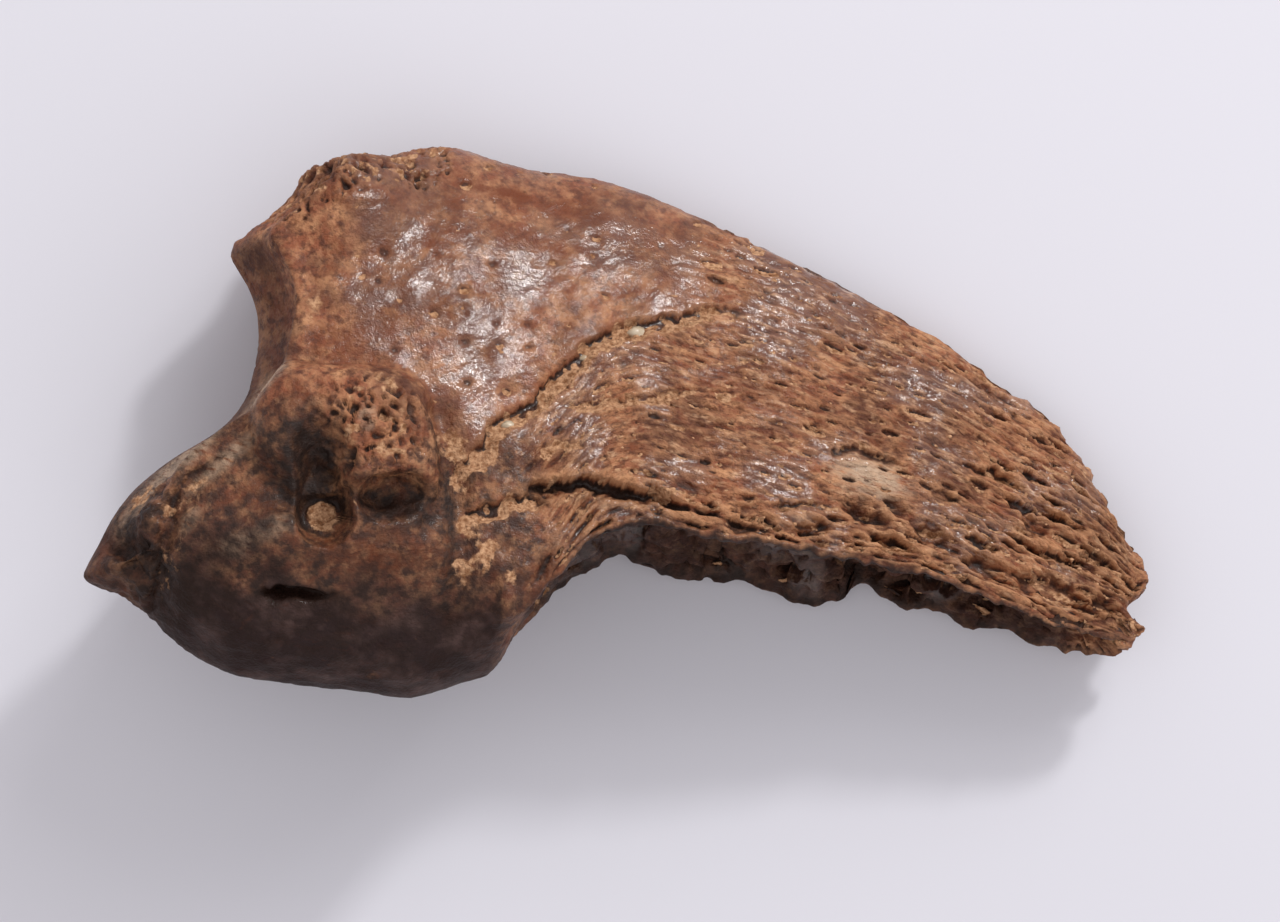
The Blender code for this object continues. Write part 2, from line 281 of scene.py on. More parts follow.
@dataclass(frozen=True)
class Patch:
    """An oval place on one side: its centre, half sizes and slope in degrees, and how strong it is."""

    x: float
    y: float
    half_length: float
    half_width: float
    slope: float = 0.0
    strength: float = 1.0

    def at(self, x: Array, y: Array, edge: float = 2.0) -> Array:
        """Its strength at the middle, falling away past its half sizes, more abruptly with a higher edge.

        Args:
            x: first coordinate.
            y: second coordinate.
            edge: power of the fall.

        Returns:
            One number a point.
        """
        c, s = math.cos(math.radians(self.slope)), math.sin(math.radians(self.slope))
        along, across = c * (x - self.x) + s * (y - self.y), -s * (x - self.x) + c * (y - self.y)
        reach = (along / self.half_length) ** 2 + (across / self.half_width) ** 2
        return self.strength * np.exp(-(reach ** (edge / 2)))


@dataclass(frozen=True)
class Patches:
    """Several patches of one kind, each given as a row of a patch's values."""

    rows: tuple[tuple[float, ...], ...]
    edge: float = 2.0

    def at(self, x: Array, y: Array) -> Array:
        """Their strengths added up."""
        return sum(Patch(*row).at(x, y, self.edge) for row in self.rows)


# ---------------------------------------------------------------- the bone's form


@dataclass(frozen=True)
class Swelling:
    """An ellipsoid joined on to both sides, prouder on the upper one and nearer the sole on the under one."""

    centre: Vector
    radii: Vector
    blend: float
    squareness: float = 2.0
    upper_lift: float = 0.0
    under_drop: float = 0.0

    def outside(self, x: Array, y: Array, z: Array) -> Array:
        """Roughly how far points are outside it.

        Args:
            x: first coordinate.
            y: second coordinate.
            z: third coordinate.

        Returns:
            Lengths in millimetres, below 0 inside.
        """
        y = y + np.where(z > 0, 0, self.under_drop)
        proud = np.abs(z) - np.where(z > 0, self.upper_lift, 0)
        return lump(np.stack([x, y, proud], -1), self.centre, self.radii, self.squareness)


@dataclass(frozen=True)
class Well:
    """A hole down a leaning axis: an oval mouth that narrows by its draft, down to a rounded floor."""

    y: float
    z: float
    lean: float
    x: float
    radii: tuple[float, float]
    depth: float
    draft: float
    blend: float

    def outside(self, p: Array) -> Array:
        """Roughly how far points are outside it.

        Args:
            p: points of the bone's frame.

        Returns:
            Lengths in millimetres, below 0 inside.
        """
        q = leaned(p, self.y, self.z, self.lean)
        off_axis = np.hypot((q[..., 0] - self.x) / self.radii[0], q[..., 1] / self.radii[1])
        return cut((off_axis - 1) * min(self.radii) - self.draft * q[..., 2], -self.depth - q[..., 2], 0.4)


@dataclass(frozen=True)
class BoneForm:
    """The smooth form: a blade with a hollowed sole, and a root with joint, bosses and tubercle."""

    back: Track = Track((
        (-21, 10.4), (-18, 13.8), (-14.5, 15.1), (-9.5, 16.1), (-4.3, 15.1), (0.5, 14.4), (5, 12.7),
        (10, 10.5), (15, 8.1), (19.5, 5.9), (23, 3.4), (26, 1.2), (28.3, -2.1), (30.5, -6.2)))
    sole: Track = Track((
        (-30.5, -9.7), (-28, -10.5), (-26.3, -11.3), (-24.6, -13), (-22, -14.8), (-18, -15.6), (-14.5, -15.8),
        (-11, -16.1), (-8.6, -15.3), (-6, -14.3), (-3.9, -11.1), (-2, -8.6), (0.8, -7.1), (5, -7.7),
        (7.6, -7.9), (10.4, -8.3), (14, -8.8), (18.3, -9.4), (21.7, -10.4), (25, -11.5), (30, -12.4)))
    half_width: Track = Track((
        (-30.5, 1.2), (-28, 3), (-25, 5.2), (-22, 6.3), (-18, 6.8), (-12, 6.8), (-8, 6.5), (-4, 6.2), (0, 6),
        (5, 5.8), (10, 5.5), (15, 4.8), (20, 3.9), (25, 2.9), (30, 1.9)))
    joint: Track = Track((
        (-11, -29.8), (-9.8, -29.6), (-8.6, -29.1), (-6.3, -27.9), (-5, -27), (-3.8, -25.8), (-2.6, -24.2),
        (-1.4, -22.4), (-0.1, -21.2), (1, -20.5), (2.2, -20.2), (3.4, -20), (4.6, -19.9), (5.7, -20),
        (6.9, -20.4), (8, -20.9), (9.1, -21.6), (10.2, -21.1), (11.6, -19.3), (13.5, -17.8)))
    tip: Track = Track(((-13, 29.3), (-11.2, 31), (-9.9, 29.9), (-8.8, 31.1), (-6.8, 31.2), (-4, 32)))
    back_start: float = -17.0
    edge_chips: tuple[Vector, ...] = (
        (1.4, 0.5, 0.9), (8.6, 0.4, 0.8), (12.2, -0.5, 1.6), (15.7, 1.0, 1.1), (19.8, 0.4, 0.9),
        (24, 0.5, 0.8))
    ragged: float = 0.22
    swellings: tuple[Swelling, ...] = (
        Swelling((-14.6, -3.6, 5.2), (4.4, 5.0, 3.8), 0.4, 2.7, 0.5, 1.8),
        Swelling((-18.3, -2.0, 4.9), (2.7, 3.5, 3.4), 0.6, 2.6, 0.5),
        Swelling((-26.6, -6.9, 2.8), (1.8, 1.7, 2.2), 0.6),
        Swelling((-17, -10.3, 3.2), (10.6, 4.4, 5.2), 0.8),
        Swelling((-15.2, 10.8, 1.6), (4.6, 4.4, 3.8), 1.0),
    )
    shoulder_slope: float = math.radians(37)
    wells: tuple[Well, ...] = (
        Well(-5.0, 8.9, 4, -17.4, (1.9, 3.0), 2.7, 0.7, 0.4),
        Well(-6.4, 8.2, 12, -17.0, (1.7, 1.8), 2.1, 0.3, 0.4),
        Well(-7.2, 6.6, 24, -16.9, (1.4, 1.4), 1.2, 0.25, 0.2),
    )
    trough_depth: float = 1.8
    dish_depth: float = 1.4
    dish_span: float = 7.2

    def back_at(self, x: Array) -> Array:
        """The back's height, level over the root."""
        return self.back.at(np.maximum(x, self.back_start))

    def sole_at(self, x: Array, z: Array) -> Array:
        """The sole's edge: its track, chipped on the under side, and ragged along the blade.

        Args:
            x: first coordinate.
            z: third coordinate.

        Returns:
            The edge's height.
        """
        chips = sum(height * bell(x - middle, half) for middle, height, half in self.edge_chips)
        along, level = x / 0.9, np.where(z > 0, 3.5, 8.5)
        crumbled = self.ragged * (woven(0.0, along, level) + 0.6 * woven(3.0, along * 2.3, level))
        return self.sole.at(x) + chips * ramp(-z, 0.5, 3.0) + crumbled * ramp(x, -3.0, 1.0)

    def vault(self, x: Array, z: Array) -> Array:
        """How high the trough's arch rises above the sole's edges, a parabola across the bone."""
        return self.trough_depth * np.clip(1 - (np.abs(z) / (0.9 * self.half_width.at(x))) ** 2, 0, 1)

    def outside(self, p: Array) -> Array:
        """Roughly how far points are outside the bone.

        The blade's side bulges from the sole's edge to the back, as a root of 1 minus a power of the height.
        Swellings are joined on at the root. A sloping shoulder, a corner, wells and a basin are cut from
        them. A keel and a trough end the bone at the sole, and tracks cut off its back, joint and tip.

        Args:
            p: points of the bone's frame.

        Returns:
            Lengths in millimetres, below 0 inside.
        """
        x, y, z = p[..., 0], p[..., 1], p[..., 2]
        side = np.abs(z)
        mirrored = np.stack([x, y, side], -1)
        sole = self.sole_at(x, z)
        height = self.back_at(x) - sole
        up = (y - sole) / height
        fullness = 1.25 + 1.6 / (1 + np.exp((x + 6) / 2.0))
        width = self.half_width.at(x) * np.sqrt(np.clip(1 - np.clip(up, 0, 1) ** fullness, 0, 1))
        body = side - width + 0.8 * np.clip(up - 1, 0, None) * height
        for swelling in self.swellings:
            body = join(body, swelling.outside(x, y, z), swelling.blend)
        shoulder = (side - 8.5) * math.cos(self.shoulder_slope) - (y + 7.7) * math.sin(self.shoulder_slope)
        body = cut(body, shoulder - 12 * ramp(x, -7.5, -3), 1.0)
        body = cut(body, -0.40 * (x + 22.6) - 0.42 * (y + 7.6) + 0.81 * (side - 7.1), 1.2)
        for well in self.wells:
            body = cut(body, -well.outside(mirrored), well.blend)
        basin = lump(leaned(mirrored, -6.9, 9.0, 22), (-12.9, 0, 0), (2.5, 1.5, 2.7))
        body = cut(body, -basin, 0.5)
        keel = np.sqrt(side**2 + 2.2) - 1.48
        under_root = 1 / (1 + np.exp((x + 5) / 0.8))
        bottom = sole - y + under_root * 0.5 * keel + (1 - under_root) * self.vault(x, z)
        body = cut(body, bottom * 0.9, 0.7)
        body = cut(body, (y - self.back.at(x)) * 0.8, 1.2)
        across = np.pi * np.clip(side, 0, self.dish_span) / self.dish_span
        cups = self.dish_depth * np.sin(across) ** 2 + 0.14 * side
        body = cut(body, (self.joint.at(y) + cups - x) * 0.8, 0.4)
        return cut(body, x - self.tip.at(y), 0.8)


@dataclass(frozen=True)
class Rays:
    """Rays that leave a line inside the bone and meet its surface in a grid of rings and columns."""

    form: BoneForm
    spine: Knots = (
        (-18.6, -6.6), (-15, -3.7), (-11, -0.9), (-6, 1.3), (-1, 2.3), (4, 2.2), (10, 0.6), (16, -1.9),
        (22, -5.3), (26, -8))
    reach: float = 27.0
    step: float = 0.5
    slack: float = 0.9
    upper_weight: float = 1.5
    ends: tuple[float, float] = (-0.985, 1.97)
    rough_net: tuple[int, int] = (110, 72)
    even_net: tuple[int, int] = (160, 145)

    def aim(self, place: Array, angle: Array) -> tuple[Array, Array]:
        """Start and direction of each ray: square to the spine, and fanned over its ends.

        Args:
            place: share of the spine's length.
            angle: turn round the spine, in radians.

        Returns:
            The start and the direction of each ray.
        """
        knots = np.array(self.spine, float)
        length = np.concatenate([[0], np.cumsum(np.hypot(*np.diff(knots, axis=0).T))])
        at = np.clip(place, 0, 1) * length[-1]
        tracks = [Track(tuple(zip(length, knots[:, axis]))) for axis in (0, 1)]
        level = np.zeros_like(at)
        start = np.stack([tracks[0].at(at), tracks[1].at(at), level], -1)
        flow = np.stack([track.at(at + 0.05) - track.at(at - 0.05) for track in tracks] + [level], -1)
        flow = flow / np.linalg.norm(flow, axis=-1, keepdims=True)
        across = np.stack([-flow[..., 1], flow[..., 0], flow[..., 2]], -1)
        lean = np.radians(90 * (np.clip(place - 1, 0, 1) - np.clip(-place, 0, 1)))[..., None]
        out = np.cos(angle)[..., None] * across + np.sin(angle)[..., None] * np.array([0, 0, 1.0])
        return start, np.cos(lean) * out + np.sin(lean) * flow

    def met(self, start: Array, way: Array) -> Array:
        """Distance at which each ray last leaves the bone, found by stepping in from outside.

        Args:
            start: where rays start.
            way: their directions.

        Returns:
            The distances, to one step.
        """
        outer = np.zeros(start.shape[:-1])
        for reach in np.arange(self.reach, 0, -self.step):
            left = outer == 0
            inside = self.form.outside(start[left] + way[left] * reach) < 0
            outer[left] = np.where(inside, reach + self.step, 0)
        return outer

    def settled(self, start: Array, way: Array, inner: Array, outer: Array, halvings: int) -> Array:
        """Distances of the surface along rays, by halving the gap between an inner and an outer distance.

        Args:
            start: where rays start.
            way: their directions.
            inner: distances inside the bone.
            outer: distances outside it.
            halvings: how often the gap is halved.

        Returns:
            The distances.
        """
        for _ in range(halvings):
            middle = (inner + outer) / 2
            inside = self.form.outside(start + way * middle[..., None]) < 0
            inner, outer = np.where(inside, middle, inner), np.where(inside, outer, middle)
        return outer

    def coarse(self, place: Array, angle: Array) -> tuple[Array, Array]:
        """Points where rays meet the bone, and their distances, with nothing known beforehand.

        Args:
            place: share of the spine's length.
            angle: turn round the spine, in radians.

        Returns:
            The points and the distances.
        """
        start, way = self.aim(place, angle)
        outer = self.met(start, way)
        distance = self.settled(start, way, outer - self.step, outer, 8)
        return start + way * distance[..., None], distance

    def evened(self, points: Array, values: Sequence[Array], count: int) -> Array:
        """Values read again so that the points lie evenly, and closer together on the upper side.

        Args:
            points: a row of points.
            values: rows of values that go with them.
            count: number of even points.

        Returns:
            The values at the even points.
        """
        middle = (points[1:, 2] + points[:-1, 2]) / 2
        weight = 1 + (self.upper_weight - 1) * ramp(middle, -2.0, 0.5)
        length = np.concatenate([[0], np.cumsum(weight * np.linalg.norm(np.diff(points, axis=0), axis=-1))])
        at = np.linspace(0, length[-1], count)
        return np.stack([np.interp(at, length, value) for value in values])

    def grid(self, rings: int, columns: int) -> Array:
        """The bone's surface as rings of points from the joint to the tip.

        A rough net is made even along each column and round each ring. Its places, angles and distances are
        then read at every row and column of the fine net, whose rays start from those distances.

        Args:
            rings: number of rings.
            columns: number of points in a ring.

        Returns:
            An array of rings by columns by 3, in millimetres.
        """
        first = np.linspace(*self.ends, self.rough_net[0])
        turns = self.rough_net[1]
        turn = np.linspace(0, 2 * math.pi, turns, endpoint=False)
        points, _ = self.coarse(*np.broadcast_arrays(first[:, None], turn))
        rows, count = self.even_net
        place = np.stack([self.evened(points[:, k], [first], rows)[0] for k in range(turns)], axis=1)
        for _ in range(12):
            place = (np.roll(place, 1, axis=1) + 2 * place + np.roll(place, -1, axis=1)) / 4
        points, _ = self.coarse(place, np.broadcast_to(turn, place.shape))
        closed = [*range(turns), 0]
        full_turn = np.append(turn, 2 * math.pi)
        even = [self.evened(ring[closed], [at[closed], full_turn], count) for ring, at in zip(points, place)]
        place, angle = np.stack(even, axis=1)[..., :-1]
        _, distance = self.coarse(place, angle)
        place, distance = (np.concatenate([values, values[:, :1]], axis=1) for values in (place, distance))
        angle = np.concatenate([angle, angle[:, :1] + 2 * math.pi], axis=1)
        place, angle, distance = (self.finer(values, rings, columns) for values in (place, angle, distance))
        start, way = self.aim(place, angle)
        inner, outer = np.clip(distance - self.slack, 0.05, None), distance + self.slack
        outer_in, inner_in = (self.form.outside(start + way * end[..., None]) < 0 for end in (outer, inner))
        lost = outer_in | ~inner_in
        if lost.any():
            outer[lost] = self.met(start[lost], way[lost])
            inner[lost] = outer[lost] - self.step
        distance = self.settled(start, way, inner, outer, 9)
        return start + way * distance[..., None]

    def finer(self, values: Array, rings: int, columns: int) -> Array:
        """A closed net of values read at more rings and columns, leaving out the repeated last column.

        Args:
            values: the net, with its first column repeated.
            rings: number of rings.
            columns: number of columns.

        Returns:
            The finer net.
        """
        rows = np.linspace(0, values.shape[0] - 1, rings)
        across = np.linspace(0, values.shape[1] - 1, columns + 1)[:-1]
        below = np.minimum(rows.astype(int), values.shape[0] - 2)
        values = values[below] + (values[below + 1] - values[below]) * (rows - below)[:, None]
        left = np.minimum(across.astype(int), values.shape[1] - 2)
        return values[:, left] + (values[:, left + 1] - values[:, left]) * (across - left)


# ---------------------------------------------------------------- wear, pores and clay


@dataclass(frozen=True)
class Groove:
    """A furrow along a path, whose left wall is steep and may stand up as a bank."""

    path: Knots
    width: float
    depth: float
    bank: float = 0.0
    clay: float = 1.0

    def carve(self, x: Array, y: Array, waver: Array) -> tuple[Array, Array]:
        """The furrow, whose floor slopes down from the right rim to the foot of the left wall.

        Args:
            x: first coordinate.
            y: second coordinate.
            waver: noise that moves the rims, from -1 to 1.

        Returns:
            Its depth in millimetres, and how much clay lies there.
        """
        gap, share = trace(x, y, self.path)
        gap = gap + 0.28 * waver * bell(gap, 1.2)
        taper = np.sqrt(np.clip(np.minimum(share / 0.08, (1 - share) / 0.3), 0, 1))
        width = self.width * (0.35 + 0.65 * taper)
        floor = ramp(gap, -1.35 * width, 0.75 * width) * (1 - ramp(gap, width, width + 0.16)) * taper
        raised = self.bank * taper * bell(gap - width - 0.3, 0.42) * (gap > width)
        heaped = width * (0.3 - 0.7 * np.clip(waver, -1, 1))
        clay = ramp(gap, -1.1 * width - 0.2, -0.5 * width) * (1 - ramp(gap, heaped, heaped + 0.4))
        return self.depth * floor - raised, self.clay * clay * taper


@dataclass(frozen=True)
class Ground:
    """Where each point of the smooth form is, and its share in each region, from 0 to 1.

    The grain runs along s, and t is across it. Both jump on the under side, so that it has pits of its own.
    The wave and the waver are noise of 1.6 mm and of 0.7 mm and less.
    """

    p: Array
    x: Array
    y: Array
    z: Array
    s: Array
    t: Array
    jump: Array
    wave: Array
    waver: Array
    from_valley: Array
    from_plug: Array
    upper: Array
    under: Array
    on_side: Array
    shell: Array
    sponge: Array
    blade: Array
    root: Array
    sole_strip: Array
    tip_zone: Array
    trough: Array
    keel_face: Array
    joint_face: Array
    plug: Array


@dataclass
class Worn:
    """What wear has done so far: how deep each point is, in millimetres, and how much clay covers it."""

    depth: Array
    clay: Array

    def settle(self, clay: Array, where: Array | None = None) -> None:
        """Lays clay where there is less of it, everywhere or at the chosen points."""
        chosen = slice(None) if where is None else where
        self.clay[chosen] = np.maximum(self.clay[chosen], clay)


@dataclass(frozen=True)
class Marks:
    """How much is worn away, the shares that colour the surface, and its place on the grain."""

    depth: Array
    clay: Array
    gloss: Array
    rust: Array
    slate: Array
    pale: Array
    shade: Array
    fleck: Array
    flow: Array


@dataclass(frozen=True)
class Weathering:
    """Pores, pits, cracks, hollows and clay on the bone's smooth form. Depths are in millimetres."""

    form: BoneForm
    shell_edge: Track = Track((
        (-30, 12), (-20, 8), (-16, 3.2), (-12, 1.2), (-10, -2.0), (-8.6, -4.0), (-6.7, -1.4), (-4.3, 0.4),
        (-2.6, 2.4), (-1.0, 3.9), (0.8, 4.7), (4.5, 5.8), (8.0, 6.4), (14, 7.5), (31, 9)))
    sponge_edge: Track = Track((
        (-22, 10.5), (-20.2, 10.4), (-18.1, 9.8), (-15.3, 11.2), (-12.5, 12.2), (-9.4, 13.6), (-8.4, 16.5),
        (31, 20)))
    valley: Knots = ((-9.3, -12.4), (-9.0, -8.6), (-9.3, -4.8), (-10.3, -1.4))
    plug_middle: tuple[float, float] = (-16.75, -7.35)
    shell_pits: Pits = Pits((2.0, 1.9), 0.55, (0.2, 0.2), 11.0)
    large_pits: Pits = Pits((2.6, 1.25), 0.5, (0.5, 0.2), 21.0)
    small_pits: Pits = Pits((1.25, 0.62), 0.55, (0.26, 0.11), 31.0)
    close_pits: Pits = Pits((2.3, 0.95), 0.75, (0.75, 0.25), 41.0)
    fold: float = 0.035
    shell_hole: float = 0.15
    fibre: float = 0.11
    large_pit: float = 0.34
    small_pit: float = 0.21
    close_pit: float = 0.68
    ledge: float = 0.22
    wide_pore: float = 0.5
    fine_pore: float = 0.28
    valley_depth: float = 0.5
    grit: float = 0.09
    cracks: tuple[Groove, ...] = (
        Groove(((-9.4, -5.2), (-7.9, -3.7), (-6.7, -1.7), (-4.3, 0.1), (-2.6, 2.1), (-1.0, 3.6), (0.8, 4.4),
                (2.3, 4.9), (4.5, 5.5), (6.4, 6.0), (7.6, 5.7)), 0.46, 0.6, 0.03),
        Groove(((-3.2, -0.4), (-0.9, -0.1), (0.7, 0.2), (2.1, 0.3), (3.6, 0.9), (5.0, 0.9)), 0.22, 0.3, 0.03),
        Groove(((-4.5, -3.4), (-3.4, -2.8), (-1.9, -2.5)), 0.18, 0.2, 0.05),
        Groove(((-8.7, -7.1), (-7.3, -6.8), (-6.2, -6.4), (-5.1, -6.1), (-4.2, -6.6)), 0.42, 0.6, 0.05),
        Groove(((-5.3, -5.6), (-3.4, -5.2), (-1.7, -5.0), (-0.1, -5.2), (1.3, -5.5), (2.8, -5.9),
                (3.9, -6.3)), 0.5, 1.1, 0.1, 0.25),
        Groove(((12.2, -2.3), (13.6, -2.1), (15.2, -2.5), (16.8, -3.2)), 0.3, 0.35, 0.12, 0.3),
        Groove(((9.0, -5.7), (10.4, -5.5), (11.8, -5.7)), 0.2, 0.35, 0.05, 0.5),
        Groove(((-25.4, -11.8), (-25.3, -10.6), (-25.4, -9.8), (-25.0, -8.3), (-24.7, -7.0), (-24.0, -5.7),
                (-22.9, -4.8), (-21.7, -4.2)), 0.7, 0.42, 0.05, 0.3),
    )

    def ground(self, p: Array) -> Ground:
        """Places and regions of the smooth form's points.

        Args:
            p: points of the smooth form.

        Returns:
            The places and the regions.
        """
        x, y, z = p[..., 0], p[..., 1], p[..., 2]
        form = self.form
        sole = form.sole.at(x)
        height = form.back_at(x) - sole
        up = np.clip((y - sole) / np.maximum(height, 3.0), -0.2, 1.2)
        rise = y - form.sole_at(x, z)
        jump = np.where(z > 0, 0.0, 57.0)
        upper = Side.UPPER.share(z)
        wave = noise(p / 1.6, 4.0)
        waver = noise(p / 0.7, 20.0) + 0.5 * noise(p / 0.3, 21.0) + 0.3 * noise(p / 0.2, 53.0)
        off_x, off_y = (x - self.plug_middle[0]) / 1.05, y - self.plug_middle[1]
        from_plug = np.hypot(off_x, off_y) + 0.05 * waver
        on_side = ramp(rise, 0.15, 0.7)
        shell = ramp(y - self.shell_edge.at(x) + 0.3 * wave, -0.7, 0.1)
        shell = shell * ramp(8.0 - x + 1.5 * wave, 0.0, 6.0) * ramp(x + 16.2, 0.0, 1.5)
        knob = ramp(y - self.sponge_edge.at(x) + 0.5 * wave, 0.0, 0.7) * ramp(-7.8 - x, 0.0, 0.8)
        boss = Patch(-14.3, 0, 3.3, 3.4).at(x, y - np.where(z > 0, -2.4, -4.2), 4.0)
        boss = boss * ramp(np.abs(z), 6.3, 7.4)
        sponge = np.clip(np.maximum(knob, boss), 0, 1)
        blade = ramp(x + 7.5 + 0.3 * y, 0.0, 2.5) * (1 - shell) * on_side
        trough = ramp(form.vault(x, z) + 0.3 - rise, 0.0, 0.45)
        return Ground(
            p=p, x=x, y=y, z=z, jump=jump, wave=wave, waver=waver, from_plug=from_plug, upper=upper,
            on_side=on_side, shell=shell, sponge=sponge, blade=blade,
            s=x * 1.08 + 0.25 * y + jump,
            t=up * (6.0 + 0.62 * np.clip(height, 3, 24)) + jump,
            from_valley=trace(x, y, self.valley)[0],
            under=Side.UNDER.share(z),
            root=1 - np.clip(shell + blade + sponge, 0, 1),
            sole_strip=ramp(3.4 - rise, 0.0, 2.0) * ramp(x, -6, -3) * on_side,
            tip_zone=ramp(x - 0.55 * y + 0.8 * wave, 17.0, 27.0) * on_side,
            trough=trough * ramp(x, -5.5, -3.0) * ramp(28.0 - x, 0.0, 2.0),
            keel_face=ramp(-y - 10.0 + 1.1 * wave - 0.10 * (x + 15), 0.0, 2.4) * ramp(-5.5 - x, 0.0, 1.5),
            joint_face=ramp(form.joint.at(y) + 2.0 - x, 0.0, 0.8) * ramp(10.0 - y, 0, 0.8),
            plug=ramp(1.02 - from_plug, 0.0, 0.15) * upper,
        )

    def marks(self, p: Array) -> Marks:
        """Everything that weathering does at these points of the smooth form, the oldest wear first, and the
        painted shade.

        Args:
            p: points of the smooth form.

        Returns:
            The marks of each point.
        """
        g = self.ground(p)
        swell = 0.10 * noise(p / 3.1) + 0.045 * noise(p / 1.3, 2.0) + 0.022 * g.shell * noise(p / 0.7, 46.0)
        worn = Worn(swell, np.zeros(g.x.shape))
        wears = (
            self.wrinkle_shell, self.fret_blade, self.open_sponge, self.roughen_root, self.crumble_trough,
            self.crack, self.hollow, self.silt, self.spare_tip, self.plug_hole)
        for wear in wears:
            wear(g, worn)
        return self.stain_and_shade(g, worn)

    def wrinkle_shell(self, g: Ground, worn: Worn) -> None:
        """Low folds in two slanting directions on the dense shell, and small round holes with sand.

        Args:
            g: places and regions of the points.
            worn: the wear so far, which this adds to.
        """
        folds = woven(5.0, (g.x + 0.8 * g.y) / 0.9, (g.y - 0.8 * g.x) / 0.26, g.z / 0.6)
        folds = folds + 0.7 * woven(6.0, (g.x + 0.2 * g.y) / 0.55, (g.y - 0.2 * g.x) / 0.2, g.z / 0.5)
        holes, held = self.shell_pits.at(g.x + g.jump, g.y)
        worn.depth += g.shell * (self.fold * folds + self.shell_hole * holes)
        worn.settle(ramp(g.shell * held, 0.2, 0.5))

    def fret_blade(self, g: Ground, worn: Worn) -> None:
        """Fibres along the blade's grain, long pits of three sizes, and ledges beside the sole.

        Args:
            g: places and regions of the points.
            worn: the wear so far, which this adds to.
        """
        bent = g.t + 0.12 * noise(g.p / 0.8, 49.0)
        grain = woven(8.0, g.s / 0.95, bent / 0.25) + 0.6 * woven(9.0, g.s / 0.5, bent / 0.14)
        large, large_sand = self.large_pits.at(g.s, g.t)
        small, small_sand = self.small_pits.at(g.s, g.t)
        torn_s, torn_t = g.s + 0.3 * noise(g.p / 0.5, 47.0), g.t + 0.16 * noise(g.p / 0.35, 48.0)
        close, close_sand = self.close_pits.at(torn_s, torn_t)
        calm = 0.45 + 0.55 * ramp(woven(12.0, g.x / 5.0, g.y / 5.0), -0.5, 0.3)
        pits = self.large_pit * large * calm * (1 - 0.5 * large_sand)
        pits = pits + self.small_pit * small * (1 - 0.5 * small_sand)
        worn.depth += g.blade * (self.fibre * (grain + woven(10.0, g.s / 1.5, g.t / 0.8)) + pits)
        rough_zone = g.on_side * np.clip(g.sole_strip + 0.9 * g.tip_zone, 0, 1)
        fretted = self.close_pit * close + 0.10 * grain + 0.06 * noise(g.p / 0.3, 54.0)
        worn.depth += rough_zone * (1 - g.shell) * fretted
        sand = np.maximum(g.blade * np.maximum(large_sand * calm, small_sand), 0.8 * rough_zone * close_sand)
        worn.settle(ramp(sand, 0.2, 0.6))
        worn.clay *= 1 - g.trough
        ledges = woven(14.0, g.s / 3.2, g.t / 0.42 + 0.5 * g.wave)
        worn.depth += self.ledge * g.sole_strip * ramp(np.abs(ledges), 0.45, 0.05) * g.upper

    def open_sponge(self, g: Ground, worn: Worn) -> None:
        """Spongy bone laid open on the knob and the bosses: bent cells of two sizes, some with clay.

        Args:
            g: places and regions of the points.
            worn: the wear so far, which this adds to.
        """
        here = g.sponge > 0.02
        p, sponge = g.p[here], g.sponge[here]
        bent = p + 0.28 * np.stack([noise(p / 0.55, 40.0 + k) for k in range(3)], -1)
        wide, owner = cells(bent / 0.95, 1.0)
        fine, _ = cells(bent / 0.5, 2.0)
        wide_pores = self.wide_pore * ramp(0.5 - wide, 0.0, 0.3) * (owner > 0.3)
        pores = np.maximum(wide_pores, self.fine_pore * ramp(0.48 - fine, 0.0, 0.3))
        worn.depth[here] += sponge * (pores + 0.13 * noise(p / 0.42, 3.0))
        worn.settle(0.55 * sponge * ramp(noise(p / 0.6, 15.0), 0.1, 0.5), here)

    def roughen_root(self, g: Ground, worn: Worn) -> None:
        """The root's lumps, largest at the joint's end, the keel's brushed face and the joint's pinholes.

        Args:
            g: places and regions of the points.
            worn: the wear so far, which this adds to.
        """
        joint_end = ramp(-24.3 - g.x, 0.0, 2.0)
        lumps = (0.10 + 0.24 * joint_end) * rough(g.p / 1.1, 3, 16.0)
        lumps = lumps + (0.05 + 0.13 * joint_end) * rough(g.p / 0.38, 2, 17.0)
        worn.depth += g.root * (1 - g.joint_face) * (1 - 0.6 * g.keel_face) * lumps
        brushed = woven(18.0, g.x / 1.6 + 0.6 * g.y, g.y / 0.4 - 0.3 * g.x, g.z / 0.5)
        worn.depth += g.keel_face * (0.07 * brushed + 0.06 * noise(g.p / 1.1, 55.0))
        speck, _ = cells(g.p / 0.42, 4.0)
        worn.depth += g.joint_face * 0.05 * ramp(0.34 - speck, 0.0, 0.15)

    def crumble_trough(self, g: Ground, worn: Worn) -> None:
        """Crumbled spongy bone in the trough, behind the rims.

        Args:
            g: places and regions of the points.
            worn: the wear so far, which this adds to.
        """
        here = g.trough > 0.02
        hole, _ = cells(g.p[here] / 1.3, 5.0)
        crumbled = 0.35 * ramp(0.6 - hole, 0.0, 0.4) + 0.12 * noise(g.p[here] / 0.6, 19.0)
        worn.depth[here] += g.trough[here] * crumbled

    def crack(self, g: Ground, worn: Worn) -> None:
        """Cracks and furrows of the upper side, each worked out within 3 mm of its path.

        Args:
            g: places and regions of the points.
            worn: the wear so far, which this adds to.
        """
        for groove in self.cracks:
            near = np.abs(trace(g.x, g.y, groove.path)[0]) < 3.0
            taken, filled = groove.carve(g.x[near], g.y[near], g.waver[near])
            worn.depth[near] += g.upper[near] * taken
            worn.settle(g.upper[near] * filled, near)

